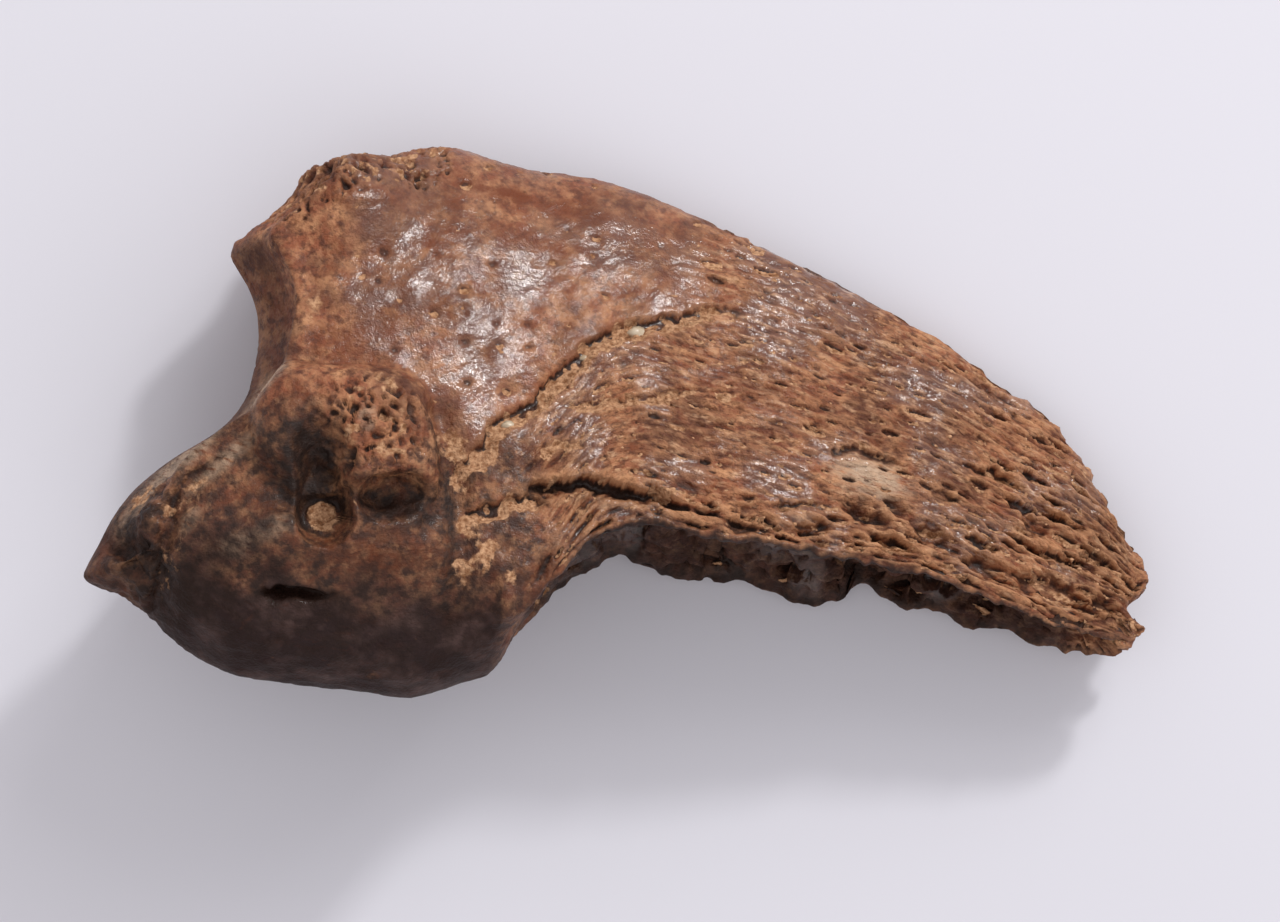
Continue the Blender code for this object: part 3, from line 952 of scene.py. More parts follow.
    def hollow(self, g: Ground, worn: Worn) -> None:
        """The large hollows of both sides, with torn edges, and the basin's uneven floor.

        Args:
            g: places and regions of the points.
            worn: the wear so far, which this adds to.
        """
        torn_x, torn_y = g.x + 0.25 * noise(g.p / 0.5, 42.0), g.y + 0.16 * noise(g.p / 0.4, 43.0)
        hollows = sum(side.share(g.z) * group.at(torn_x, torn_y) for side, group in HOLLOWS.items())
        basin = Patch(-12.8, -6.7, 2.2, 1.2).at(g.x, g.y, 3.0)
        worn.depth += 0.22 * g.upper * noise(g.p / 0.55, 44.0) * basin
        worn.depth += g.on_side * hollows * (1 + 0.25 * g.waver)

    def silt(self, g: Ground, worn: Worn) -> None:
        """The valley between root and blade, the clay in it and elsewhere, and the grit of all clay.

        Args:
            g: places and regions of the points.
            worn: the wear so far, which this adds to.
        """
        worn.depth += self.valley_depth * bell(g.from_valley, 0.75) * (g.upper + g.under)
        heaped = bell(g.from_valley + 0.35, 0.6 + 0.35 * g.waver) * ramp(g.y, -12.5, -9.0)
        heaped = heaped * ramp(-g.y, 1.0, 3.5) * ramp(woven(45.0, g.x / 1.5, g.y / 1.5), -0.25, 0.15)
        worn.settle(heaped)
        for row in CLAY.rows:
            worn.settle(Patch(*row).at(g.x, g.y, CLAY.edge) * g.upper * ramp(g.waver + 0.35, 0.0, 0.6))
        grains = noise(g.p / 0.28, 22.0) + 0.6 * noise(g.p / 0.15, 23.0)
        worn.depth += self.grit * worn.clay * grains - 0.05 * heaped

    def spare_tip(self, g: Ground, worn: Worn) -> None:
        """Nothing is worn deeper than a share of the bone's thickness, and little at the tip's end.

        Args:
            g: places and regions of the points.
            worn: the wear so far, which this adds to.
        """
        before_tip = ramp(self.form.tip.at(g.y) - g.x, 0.0, 0.9)
        worn.depth = np.minimum(worn.depth, 0.3 * self.form.half_width.at(g.x)) * (0.2 + 0.8 * before_tip)
        worn.clay *= before_tip

    def plug_hole(self, g: Ground, worn: Worn) -> None:
        """The vessel's hole: a sill parts it from the basin, and clay plugs it.

        Args:
            g: places and regions of the points.
            worn: the wear so far, which this adds to.
        """
        sill = Patch(-16.4, -5.75, 1.3, 0.35, 10).at(g.x, g.y)
        worn.depth -= g.upper * (0.45 * sill + 0.35 * ramp(1.05 - g.from_plug, 0.0, 0.2))
        worn.clay *= 1 - ramp(1.6 - g.from_plug, 0.0, 0.2) * g.upper
        worn.settle(0.86 * g.plug)

    def stain_and_shade(self, g: Ground, worn: Worn) -> Marks:
        """The stains and the polish that go with the wear, and the painted shade of the shade mark.

        Args:
            g: places and regions of the points.
            worn: the finished wear.

        Returns:
            The marks of each point.
        """
        x, y, upper = g.x, g.y, g.upper
        rust = RUST.at(x, y) * upper
        rim = ramp(self.form.joint.at(y) + 1.7 - x + 0.3 * g.waver, 0.0, 0.6)
        rim = rim * ramp(y + 8.5, 0.0, 1.5) * ramp(2.5 - y, 0.0, 2.0) * ramp(g.z, 0.5, 2.0)
        slate = np.maximum(np.maximum(g.keel_face, 0.5 * g.joint_face), g.trough)
        slate = np.maximum(slate, SLATE.at(x, y) * upper) * (1 - 0.8 * rim)
        pale = PALE.at(x, y) * upper + 0.85 * rim
        off_x, off_y = (x - self.plug_middle[0]) / 1.05, y - self.plug_middle[1]
        # A painted shadow: a dark crescent inside the upper rim of the plug's hole.
        ring = bell(g.from_plug - 1.2, 0.2) * ramp(off_y - 0.8 * off_x, -0.9, 0.6) * upper
        # Painted shade: the SHADE patches, the trough and the crescent.
        shade = SHADE.at(x, y) * upper * (1 - 0.9 * g.plug) + 0.5 * g.trough + 0.9 * ring
        # Painted shade: the root darker towards the sole, on its side away from the light.
        shade = shade + 0.48 * g.root * ramp(-y - 0.5, 0.0, 3.0) * (1 - 0.4 * np.clip(rust, 0, 1))
        # Painted shade in the valley between root and blade.
        shade = shade + 0.4 * bell(g.from_valley - 0.55, 0.4) * upper * ramp(-y, 1.5, 3.0)
        # Painted shade: the keel's lowest face darker.
        shade = np.maximum(shade, 0.35 * g.keel_face * ramp(-y - 11.5, 0.0, 2.0))
        rubbed = 0.95 * ramp(woven(25.0, x / 2.0, y / 2.0), -0.3, 0.5)
        rubbed = rubbed + 0.6 * Patch(8.2, 4.0, 3.0, 1.6, -20).at(x, y)
        polished = 0.5 + 0.3 * woven(24.0, x / 2.0, y / 2.0) + 0.75 * GLOSS.at(x, y)
        gloss = g.shell * polished + g.blade * rubbed + 0.1 * g.root
        gloss = gloss * (1 - 0.6 * np.clip(rust, 0, 1))
        shares = [np.clip(share, 0, 1) for share in (worn.clay, gloss, rust, slate, pale, shade, g.blade)]
        return Marks(worn.depth, *shares, np.stack([g.s, g.t, g.z], -1))


HOLLOWS: Mapping[Side, Patches] = {
    Side.UPPER: Patches((
        (7.2, -7.0, 1.2, 0.5, -5, 0.6), (10.6, -6.9, 1.0, 0.4, 0, 0.6), (14.2, -5.7, 1.5, 0.55, -26, 0.95),
        (16.0, -5.2, 0.8, 0.35, -35, 0.5), (18.3, -6.9, 1.4, 0.5, -24, 0.9), (21.2, -8.3, 1.5, 0.5, -18, 0.9),
        (25.0, -9.2, 2.2, 0.6, -16, 1.0), (24.3, -5.6, 0.9, 0.45, -30, 0.6), (25.0, -7.4, 1.2, 0.3, -26, 0.6),
        (28.2, -9.9, 0.5, 0.45, -15, 0.7), (27.5, -7.8, 0.9, 0.35, -30, 0.5),
        (30.0, -10.6, 0.9, 0.4, -20, 0.6), (15.0, -7.3, 0.7, 0.3, -20, 0.5),
        (22.7, -7.0, 0.7, 0.25, -25, 0.4), (11.7, -6.8, 0.45, 0.3, 0, 0.5),
        (4.9, -6.2, 0.6, 0.25, -10, 0.5), (9.2, -5.7, 0.5, 0.2, 0, 0.4), (-27.1, -9.1, 1.7, 0.75, -48, 1.2),
        (-18.2, -11.7, 1.9, 0.28, -2, 0.9), (-19.3, -11.8, 0.7, 0.42, 0, 0.6)), 3.4),
    Side.UNDER: Patches(tuple(
        (6.5 + 2.2 * k, -5.9 - 0.374 * k + 0.9 * math.sin(2.4 * k),
         1.2 + 0.4 * math.cos(1.7 * k), 0.5, -20, 0.7)
        for k in range(11)), 3.4),
}
CLAY = Patches((
    (-8.6, -4.6, 1.5, 0.8, 40, 0.9), (-7.7, -9.1, 0.9, 1.4, 0, 0.7), (-6.5, -10.2, 1.1, 0.8, -30, 0.6),
    (-24.6, -6.2, 2.0, 0.45, 40, 0.7), (-17.0, 4.0, 2.6, 0.9, -70, 0.5), (-26.3, -5.6, 1.2, 0.6, 40, 0.6),
    (-15.3, -7.2, 0.25, 0.9, 0, 0.8)), 3.0)
RUST = Patches((
    (-15.3, 3.0, 1.3, 1.6, 0, 0.9), (-4.4, -10.4, 1.8, 1.0, 30, 0.9), (-9.3, -3.0, 0.7, 1.4, 0, 0.4),
    (8.5, 1.2, 4.0, 1.2, -12, 0.45), (-13.5, -9.8, 5.0, 1.3, 0, 1.0), (-20.5, -6.5, 2.0, 1.6, 40, 0.7),
    (-18.6, -1.6, 1.6, 1.6, 0, 0.6), (-28.8, -8.2, 1.0, 0.9, 0, 1.0), (-6.4, 12.8, 3.4, 0.7, -12, 1.0),
    (-4.7, 9.7, 2.4, 0.7, -12, 1.0), (4.5, -5.0, 3.0, 0.8, -8, 0.5), (-2.0, 12.0, 3.4, 1.2, -8, 0.5)))
GLOSS = Patches((
    (-13.9, 9.8, 1.6, 1.2, 0, 1.0), (-11.2, 11.7, 1.2, 0.8, 0, 0.8), (-5.4, 7.4, 2.2, 1.4, 20, 1.0),
    (-7.8, 2.4, 1.5, 1.5, 60, 1.0), (0.2, 11.0, 2.8, 0.9, -15, 1.0), (-0.5, 8.6, 1.6, 0.8, -10, 0.5),
    (-11.5, 6.6, 1.4, 1.0, 0, 0.6)))
SLATE = Patches((
    (-9.6, -0.8, 0.6, 1.6, 0, 0.15), (-23.2, -9.9, 2.6, 1.5, 20, 0.85), (-27.0, -8.0, 1.6, 1.4, -40, 0.6),
    (-12.6, -6.9, 2.2, 0.9, 0, 0.6)))
# Painted shade, with some dark stain: darker patches in the basin, the root's hollows and slit, under the
# boss and near the sole.
SHADE = Patches((
    (-17.3, -4.3, 1.7, 1.7, 0, 0.85), (-12.8, -6.8, 2.4, 0.9, 0, 0.75), (-18.6, -5.8, 1.6, 1.0, -30, 0.5),
    (-26.7, -9.3, 1.6, 0.8, -50, 0.9), (-18.3, -11.7, 2.2, 0.35, 0, 0.9), (-15.0, -10.4, 7.5, 1.5, 0, 0.25),
    (-24.5, -11.5, 1.5, 1.6, -40, 0.5), (-26.8, -7.2, 1.0, 0.7, 30, 0.4), (-18.6, -2.6, 1.8, 1.6, 0, 0.4),
    (-21.0, -8.0, 3.0, 1.6, 20, 0.3), (-2.0, -5.6, 3.4, 0.5, -3, 0.3)))
PALE = Patches((
    (14.5, -3.5, 2.3, 1.25, -14, 1.0), (-19.6, -8.3, 1.5, 0.6, 20, 0.55), (-22.5, -4.4, 2.6, 0.5, 40, 0.8),
    (-24.2, -7.6, 1.0, 0.5, 60, 0.5), (-24.2, -3.6, 1.7, 0.7, 40, 1.0), (-21.6, -9.2, 0.9, 0.7, 0, 0.45),
    (-14.7, -2.3, 0.5, 0.8, 0, 0.5)), 4.0)


# ---------------------------------------------------------------- finishes


def linear(code: str) -> tuple[float, float, float, float]:
    """The linear colour of an sRGB hex code."""
    parts = (int(code[k : k + 2], 16) / 255 for k in (1, 3, 5))
    return *(part / 12.92 if part <= 0.04045 else ((part + 0.055) / 1.055) ** 2.4 for part in parts), 1.0


class Nodes:
    """A new material's nodes. The place is in metres, so that a scale of 1000 has spots of 1 mm."""

    def __init__(self, name: str, constants: Mapping[str, object]) -> None:
        """Makes the material, with constant values on the shader's own sockets.

        Args:
            name: the material's name.
            constants: values by the names of sockets.
        """
        self.material = bpy.data.materials.new(name)
        self.material.use_nodes = True
        self.tree = self.material.node_tree
        self.shader = self.tree.nodes["Principled BSDF"]
        self.feed(self.shader, constants)
        self.place = self.add("TexCoord", output="Object")

    def feed(self, node: bpy.types.Node, inputs: Mapping[int | str, object]) -> None:
        """Gives each of a node's sockets a value, or links another node's output to it.

        Args:
            node: whose sockets they are.
            inputs: values or outputs, by name or number.
        """
        for socket, value in inputs.items():
            if isinstance(value, Socket):
                self.tree.links.new(value, node.inputs[socket])
            else:
                node.inputs[socket].default_value = value

    def add(
        self, kind: str, inputs: Mapping | Sequence = (), output: int | str = 0, **settings: object
    ) -> Socket:
        """Adds a node with its settings and links.

        Args:
            kind: its type's name, after the words shader node.
            inputs: what its sockets take, by name or number, or in their own order.
            output: which of its outputs is wanted.
            settings: the node's own properties.

        Returns:
            The output.
        """
        made = self.tree.nodes.new("ShaderNode" + kind)
        for name, value in settings.items():
            setattr(made, name, value)
        self.feed(made, inputs if isinstance(inputs, Mapping) else dict(enumerate(inputs)))
        return made.outputs[output]

    def spots(self, scale: float, detail: float, low: float, high: float, at: Socket | None = None) -> Socket:
        """Noise at the place or at other coordinates, stretched so that low goes to 0 and high to 1.

        Args:
            scale: spots in one unit of length.
            detail: layers of finer noise.
            low: what goes to 0.
            high: what goes to 1.
            at: coordinates other than the place.

        Returns:
            The output.
        """
        at = self.place if at is None else at
        cloud = self.add("TexNoise", {"Vector": at, "Scale": scale, "Detail": detail, "Roughness": 0.58})
        return self.add("MapRange", (cloud, low, high))

    def product(self, *factors: Socket | float) -> Socket:
        """Shares multiplied into one, kept from 0 to 1 at each step.

        Args:
            factors: outputs or numbers.

        Returns:
            The output.
        """
        made, *others = factors
        for factor in others:
            made = self.add("Math", (made, factor), operation="MULTIPLY", use_clamp=True)
        return made

    def layered(self, base: str, layers: Sequence[tuple[Socket, Socket | str]]) -> Socket:
        """A base tone with colours laid over it one after another, each by its share.

        Args:
            base: hex code of the lowest tone.
            layers: share and colour of each layer, the lowest first.

        Returns:
            The colour.
        """
        colour = linear(base)
        for share, tone in layers:
            top = linear(tone) if isinstance(tone, str) else tone
            colour = self.add("Mix", {0: share, 6: colour, 7: top}, 2, data_type="RGBA")
        return colour


@dataclass(frozen=True)
class FossilBone:
    """Fossil bone: old bone stained brown in a cave, mineralised and then polished thinly by handling.

    The dense outer layer keeps a sheen that breaks into sparks on its wrinkles. Where it has gone, the spongy
    bone below is dull. Bone mineral's IOR is about 1.6, and its porous surface is nearer 1.5.
    """

    brown: str = "#8b4f33"
    light: str = "#bd8860"
    dark: str = "#4a2413"
    shell: str = "#5c3017"
    rust: str = "#68300f"
    mauve: str = "#6d544e"
    slate: str = "#2c1c1b"
    # The near-black of painted shade in pits and shaded places, and of dark stain.
    shade_and_stain_dark: str = "#24140d"
    clay: str = "#c69a76"
    clay_dark: str = "#875c3d"
    ash: str = "#b79a80"
    ior: float = 1.5
    polish_roughness: float = 0.09
    bone_roughness: float = 0.62
    clay_roughness: float = 0.95
    reliefs: tuple[tuple[str, float, float], ...] = (
        ("Normal", 0.00020, 0.00014), ("Coat Normal", 0.000046, 0.000035))

    def material(self) -> bpy.types.Material:
        """Dull and chalky bone under a thin polish, which lies only where the dense layer is kept.

        Returns:
            The material.
        """
        polish = {"IOR": self.ior, "Coat IOR": self.ior, "Coat Roughness": self.polish_roughness}
        n = Nodes("fossil_bone", polish)
        flow = n.add("Attribute", output="Vector", attribute_name="flow")
        names = (*PAINTED, "hollow")
        painted = {name: n.add("Attribute", output="Fac", attribute_name=name) for name in names}
        covered = self.covered(n, painted["clay"])
        roughness = {0: covered, 2: self.bone_roughness, 3: self.clay_roughness}
        bare = n.add("MapRange", (covered, 0.4, 0.0))
        n.feed(n.shader, {
            "Base Color": n.layered(self.brown, self.layers(n, flow, painted, covered)),
            "Roughness": n.add("Mix", roughness, data_type="FLOAT"),
            "Specular IOR Level": n.add("MapRange", (painted["slate"], 0.0, 1.0, 0.3, 0.12)),
            "Coat Weight": n.product(painted["gloss"], n.spots(380.0, 4, 0.30, 0.55), bare),
        })
        self.roughen(n, flow, painted["fleck"])
        return n.material

    def covered(self, n: Nodes, clay: Socket) -> Socket:
        """Where clay covers the bone. Noise breaks its edge, so that grains lie over the bone beside it.

        Args:
            n: the material's nodes.
            clay: how much clay is painted on the skin.

        Returns:
            The share of clay that shows.
        """
        grains = n.product(n.spots(1900.0, 4, 0.3, 0.7), 0.6)
        broken = n.add("Math", (clay, grains), operation="ADD", use_clamp=True)
        return n.product(n.add("MapRange", (broken, 0.62, 0.9)), n.add("MapRange", (clay, 0.12, 0.4)))

    def layers(
        self, n: Nodes, flow: Socket, painted: Mapping[str, Socket], covered: Socket
    ) -> list[tuple[Socket, Socket | str]]:
        """What lies over the brown bone.

        Paler fibres follow the grain on the blade. Darker blotches are about 4 mm wide and specks 0.3 mm, and
        both are held back on the shell, which is evener. Ridges are painted paler, as worn edges and painted
        highlight, and pits darker, as painted shade. Painted shade, with some dark stain, lies where the
        shade mark is. Clay with sand grains of 0.2 mm lies over all.

        Args:
            n: the material's nodes.
            flow: coordinates along the bone's grain.
            painted: the marks painted on the skin.
            covered: where clay covers the bone.

        Returns:
            The share and the colour of each layer, from the lowest to the top one.
        """
        gloss, shade, fleck, slate, hollow = (
            painted[name] for name in ("gloss", "shade", "fleck", "slate", "hollow"))
        along, drawn, streaky, creased = (
            n.add("Mapping", {"Vector": flow, "Scale": scale})
            for scale in ((0.5, 2.4, 1.0), (0.9, 2.4, 2.0), (1.7, 4.2, 2.0), (0.75, 2.9, 1.5))
        )
        fibres, streaks = (
            n.add("Mix", {0: fleck, 2: loose, 3: combed}, data_type="FLOAT")
            for loose, combed in (
                (n.spots(800.0, 4, 0.42, 0.66), n.spots(1.0, 5, 0.42, 0.66, along)),
                (n.spots(1500.0, 3, 0.50, 0.66), n.spots(1.0, 4, 0.48, 0.66, streaky)),
            )
        )
        crease = {"Vector": creased, "W": 1.0, "Scale": 1.0, "Detail": 2.0}
        off = n.add("Math", (n.add("TexNoise", crease, noise_dimensions="4D"), 0.5), operation="SUBTRACT")
        lines = n.add("MapRange", (n.add("Math", (off,), operation="ABSOLUTE"), 0.025, 0.0))
        even, shaded, clean, sharp, pit, deep_pit_shade = (
            n.add("MapRange", (value, *span))
            for value, span in (
                (gloss, (0.1, 0.9, 1.0, 0.42)), (shade, (0.05, 0.3)), (slate, (0.0, 0.5, 0.7, 0.0)),
                (fleck, (0.0, 1.0, 0.2, 0.8)), (hollow, (0.53, 0.72)), (hollow, (0.61, 0.88)))
        )
        flakes = n.add("TexNoise", {"Vector": n.place, "Scale": 1500.0, "Detail": 4.0})
        flaked = {0: shade, 2: n.add("MapRange", (flakes, 0.36, 0.62, 0.15, 1.8)),
                  3: n.add("MapRange", (flakes, 0.34, 0.66, 0.8, 1.1))}
        slaty = n.layered(self.slate, [(n.product(n.spots(420.0, 5, 0.44, 0.68), 0.6), self.mauve)])
        sand = n.layered(self.clay, [(n.spots(3600.0, 3, 0.36, 0.64), self.clay_dark)])
        return [
            (fibres, self.light),
            (n.product(n.spots(240.0, 4, 0.44, 0.62), 0.8), self.dark),
            (n.product(gloss, 0.85), self.shell),
            (n.product(n.spots(420.0, 4, 0.50, 0.66), 0.7, even), self.rust),
            (n.product(n.spots(1100.0, 4, 0.50, 0.68), 0.55, even), self.light),
            (n.product(streaks, 0.85, even), self.dark),
            (n.product(n.spots(2600.0, 3, 0.52, 0.66), 0.6, even), self.dark),
            (n.product(n.spots(1900.0, 4, 0.55, 0.66), 0.6, shaded), self.light),
            (n.product(n.spots(1.0, 3, 0.55, 0.70, drawn), 0.75, fleck), self.clay),
            (n.product(painted["rust"], n.spots(900.0, 4, 0.30, 0.56)), self.rust),
            (n.product(slate, n.spots(600.0, 4, 0.10, 0.36)), slaty),
            (n.product(painted["pale"], n.spots(2.2, 4, 0.34, 0.50, along)), self.ash),
            (n.product(lines, n.spots(500.0, 2, 0.46, 0.6), 0.38), self.dark),
            # Painted highlight and worn edges: ridges paler than what is around them.
            (n.product(n.add("MapRange", (hollow, 0.49, 0.27)), clean, sharp), self.light),
            # Painted shade: pits darker, the deepest nearly black.
            (n.product(pit, 0.75), self.dark),
            (n.product(deep_pit_shade, 0.88), self.shade_and_stain_dark),
            # Painted shade, with some dark stain, where the shade mark is, broken into flakes.
            (n.product(shade, n.add("Mix", flaked, data_type="FLOAT")), self.shade_and_stain_dark),
            (covered, sand),
        ]

    def roughen(self, n: Nodes, flow: Socket, fleck: Socket) -> None:
        """Bump: wrinkles of a fifth of a millimetre and grain of a tenth. The polish fills most of both.

        Args:
            n: the material's nodes.
            flow: coordinates along the bone's grain.
            fleck: the share of blade, where fibres show.
        """
        drawn = n.add("Mapping", {"Vector": flow, "Scale": (1.9, 4.6, 3.0)})
        fibre, crisp = (
            n.add("TexNoise", {"Vector": vector, "Scale": scale, "Detail": 3.0, "Roughness": 0.6})
            for vector, scale in ((drawn, 1.0), (n.place, 4600.0))
        )
        on_blade = n.add("MapRange", (fleck, 0.0, 1.0, 0.25, 1.0))
        for socket, broad, fine in self.reliefs:
            wrinkled = n.add("Bump", {"Height": fibre, "Distance": broad, "Strength": on_blade})
            n.feed(n.shader, {socket: n.add("Bump", {"Height": crisp, "Distance": fine, "Normal": wrinkled})})


@dataclass(frozen=True)
class Speckled:
    """A mineral that noise speckles from one tone to another, with a relief in metres."""

    name: str
    tones: tuple[str, str]
    scale: float
    detail: float
    span: tuple[float, float]
    constants: Mapping[str, float]
    relief: float = 0.0

    def material(self) -> bpy.types.Material:
        """The node material.

        Returns:
            The material.
        """
        n = Nodes(self.name, self.constants)
        base, speck = self.tones
        cloud = n.add("TexNoise", {"Vector": n.place, "Scale": self.scale, "Detail": self.detail})
        n.feed(n.shader, {"Base Color": n.layered(base, [(n.add("MapRange", (cloud, *self.span)), speck)])})
        if self.relief:
            n.feed(n.shader, {"Normal": n.add("Bump", {"Height": cloud, "Distance": self.relief})})
        return n.material


# Cave clay is dry, sandy silt, matt and stained by iron, with sand grains of about 0.2 mm. Quartz is clear to
# milky, rounded and frosted in water and clouded inside, so it looks pale and soft. Its IOR is 1.54.
CAVE_CLAY = Speckled("cave_clay", ("#c69a76", "#875c3d"), 3600.0, 3.0, (0.36, 0.64),
                     {"Roughness": 0.95, "Specular IOR Level": 0.3}, 0.00008)
QUARTZ = Speckled("quartz", ("#a99478", "#cdbfa8"), 1800.0, 2.0, (0.3, 0.7), {"IOR": 1.54, "Roughness": 0.35})


# ---------------------------------------------------------------- pieces


def shown(name: str, data: bpy.types.ID) -> bpy.types.Object:
    """A new object in the scene.

    Args:
        name: its name.
        data: its mesh, lamp or camera.

    Returns:
        The object.
    """
    made = bpy.data.objects.new(name, data)
    bpy.context.scene.collection.objects.link(made)
    return made


def with_ends(net: Array, axis: int = 0) -> Array:
    """A net's values in a row, and then the means of its first and last rings, as a closed mesh has them.

    Args:
        net: values by rings and columns.
        axis: which axis the rings are on. The columns are on the next.

    Returns:
        The values with rings and columns made into one axis, longer by two.
    """
    before, after = net.shape[:axis], net.shape[axis + 2 :]
    ends = [np.take(net, [end], axis).mean(axis + 1) for end in (0, -1)]
    return np.concatenate([net.reshape(*before, -1, *after), *ends], axis)


def closed_mesh(name: str, nets: Array) -> bpy.types.Mesh:
    """A smooth mesh of closed bodies, with its faces outwards.

    Args:
        name: the mesh's name.
        nets: bodies by rings by columns by 3, in millimetres. Each is capped with a point at both ends.

    Returns:
        The mesh, whose points are each body's net and then the middles of its first and last rings.
    """
    bodies, rows, columns = nets.shape[:3]
    size = rows * columns + 2
    ring = np.arange(rows * columns).reshape(rows, columns)
    turned = np.roll(ring, -1, axis=1)
    quads = np.stack([ring[:-1], turned[:-1], turned[1:], ring[1:]], -1).reshape(-1)
    first_cap = np.stack([np.full(columns, size - 2), turned[0], ring[0]], -1)
    last_cap = np.stack([np.full(columns, size - 1), ring[-1], turned[-1]], -1)
    first = size * np.arange(bodies)[:, None]
    quads, caps = ((faces + first).reshape(-1) for faces in (quads, np.append(first_cap, last_cap)))
    mesh = bpy.data.meshes.new(name)
    mesh.vertices.add(bodies * size)
    mesh.vertices.foreach_set("co", (with_ends(nets, 1) * MM).astype(np.float32).ravel())
    corners = np.concatenate([quads, caps]).astype(np.int32)
    starts = np.concatenate([np.arange(0, len(quads), 4), len(quads) + np.arange(0, len(caps), 3)])
    mesh.loops.add(len(corners))
    mesh.loops.foreach_set("vertex_index", corners)
    mesh.polygons.add(len(starts))
    mesh.polygons.foreach_set("loop_start", starts.astype(np.int32))
    mesh.update(calc_edges=True)
    mesh.shade_smooth()
    return mesh


@dataclass(frozen=True)
class RestingPose:
    """How the bone lies: pitched and then rolled, with the middle of its footprint at the origin."""

    pitch_deg: float = 8.4
    roll_deg: float = 13.6
    shift: Vector = (0.9160, 0.2807, -5.7759)

    def laid(self, points: Array) -> Array:
        """Points of the bone's frame, in millimetres, as they lie on the table. None is left below it.

        Args:
            points: any array of points.

        Returns:
            The same array of points, placed.
        """
        p, r = math.radians(self.pitch_deg), math.radians(self.roll_deg)
        pitch = np.array([[math.cos(p), 0, math.sin(p)], [0, 1, 0], [-math.sin(p), 0, math.cos(p)]])
        roll = np.array([[1, 0, 0], [0, math.cos(r), math.sin(r)], [0, -math.sin(r), math.cos(r)]])
        placed = points @ (roll @ pitch).T - np.array(self.shift)
        placed[..., 2] = np.maximum(placed[..., 2], 0.0)
        return placed


@dataclass
class Skin:
    """The bone's finished surface as a net of points in its own frame."""

    points: Array
    normal: Array
    marks: Marks

    @classmethod
    def solved(cls, rings: int = 620, columns: int = 460) -> "Skin":
        """The form's surface, worn down along its normals, which are square to its rings and columns.

        Args:
            rings: rings of the net.
            columns: points in a ring.

        Returns:
            The skin.
        """
        scale = 1.0
        form = BoneForm()
        grid = Rays(form).grid(int(rings * scale), int(columns * scale))
        around = np.roll(grid, -1, axis=1) - np.roll(grid, 1, axis=1)
        normal = np.cross(around, np.gradient(grid, axis=0))
        normal = normal / np.maximum(np.linalg.norm(normal, axis=-1, keepdims=True), 1e-9)
        marks = Weathering(form).marks(grid)
        return cls(grid - normal * marks.depth[..., None], normal, marks)

    def above(self, x: float, y: float) -> tuple[Array, Array]:
        """The point of the upper side nearest to a place, and its normal.

        Args:
            x: first coordinate.
            y: second coordinate.

        Returns:
            The point and the normal.
        """
        gap = (self.points[..., 0] - x) ** 2 + (self.points[..., 1] - y) ** 2 + 99 * (self.points[..., 2] < 0)
        at = np.unravel_index(np.argmin(gap), gap.shape)
        return self.points[at], self.normal[at]


@dataclass
class ClawBone:
    """The bone itself: its fine skin, painted with marks and laid in its resting pose."""

    skin: Skin
    pose: RestingPose
    triangles: int = 198_000
    blur_passes: int = 14
    contrast: float = 1.6

    def hollowness(self) -> Array:
        """How far each point lies below its blurred surroundings: over a half in pits, less on ridges.

        Returns:
            One number a point, from 0 to 1.
        """
        depth = blurred = self.skin.marks.depth
        for _ in range(self.blur_passes):
            blurred = (np.roll(blurred, 1, axis=1) + 2 * blurred + np.roll(blurred, -1, axis=1)) / 4
            padded = np.concatenate([blurred[:1], blurred, blurred[-1:]])
            blurred = (padded[:-2] + 2 * padded[1:-1] + padded[2:]) / 4
        return np.clip(0.5 + self.contrast * (depth - blurred), 0, 1)

    def build(self) -> bpy.types.Object:
        """The piece, with its marks as attributes of its points.

        Returns:
            The bone's object.
        """
        marks = self.skin.marks
        mesh = closed_mesh("claw_bone_skin", self.pose.laid(self.skin.points)[None])
        painted = {name: getattr(marks, name) for name in PAINTED} | {"hollow": self.hollowness()}
        for name, values in painted.items():
            layer = mesh.attributes.new(name, "FLOAT", "POINT")
            layer.data.foreach_set("value", with_ends(values).astype(np.float32))
        flow = mesh.attributes.new("flow", "FLOAT_VECTOR", "POINT")
        flow.data.foreach_set("vector", with_ends(marks.flow).astype(np.float32).ravel())
        bone = shown("claw_bone_skin", mesh)
        self.thin(bone)
        bone.data.materials.append(FossilBone().material())
        return bone

    def thin(self, bone: bpy.types.Object) -> None:
        """Merges faces where the skin is smooth, down to the number of triangles.

        Args:
            bone: the object whose mesh is thinned.
        """
        count = len(bone.data.loops) - 2 * len(bone.data.polygons)
        if count <= self.triangles:
            return
        thinning = bone.modifiers.new("thinning", "DECIMATE")
        thinning.ratio = self.triangles / count
        graph = bpy.context.evaluated_depsgraph_get()
        thinned = bpy.data.meshes.new_from_object(bone.evaluated_get(graph))
        bone.modifiers.clear()
        bone.data = thinned


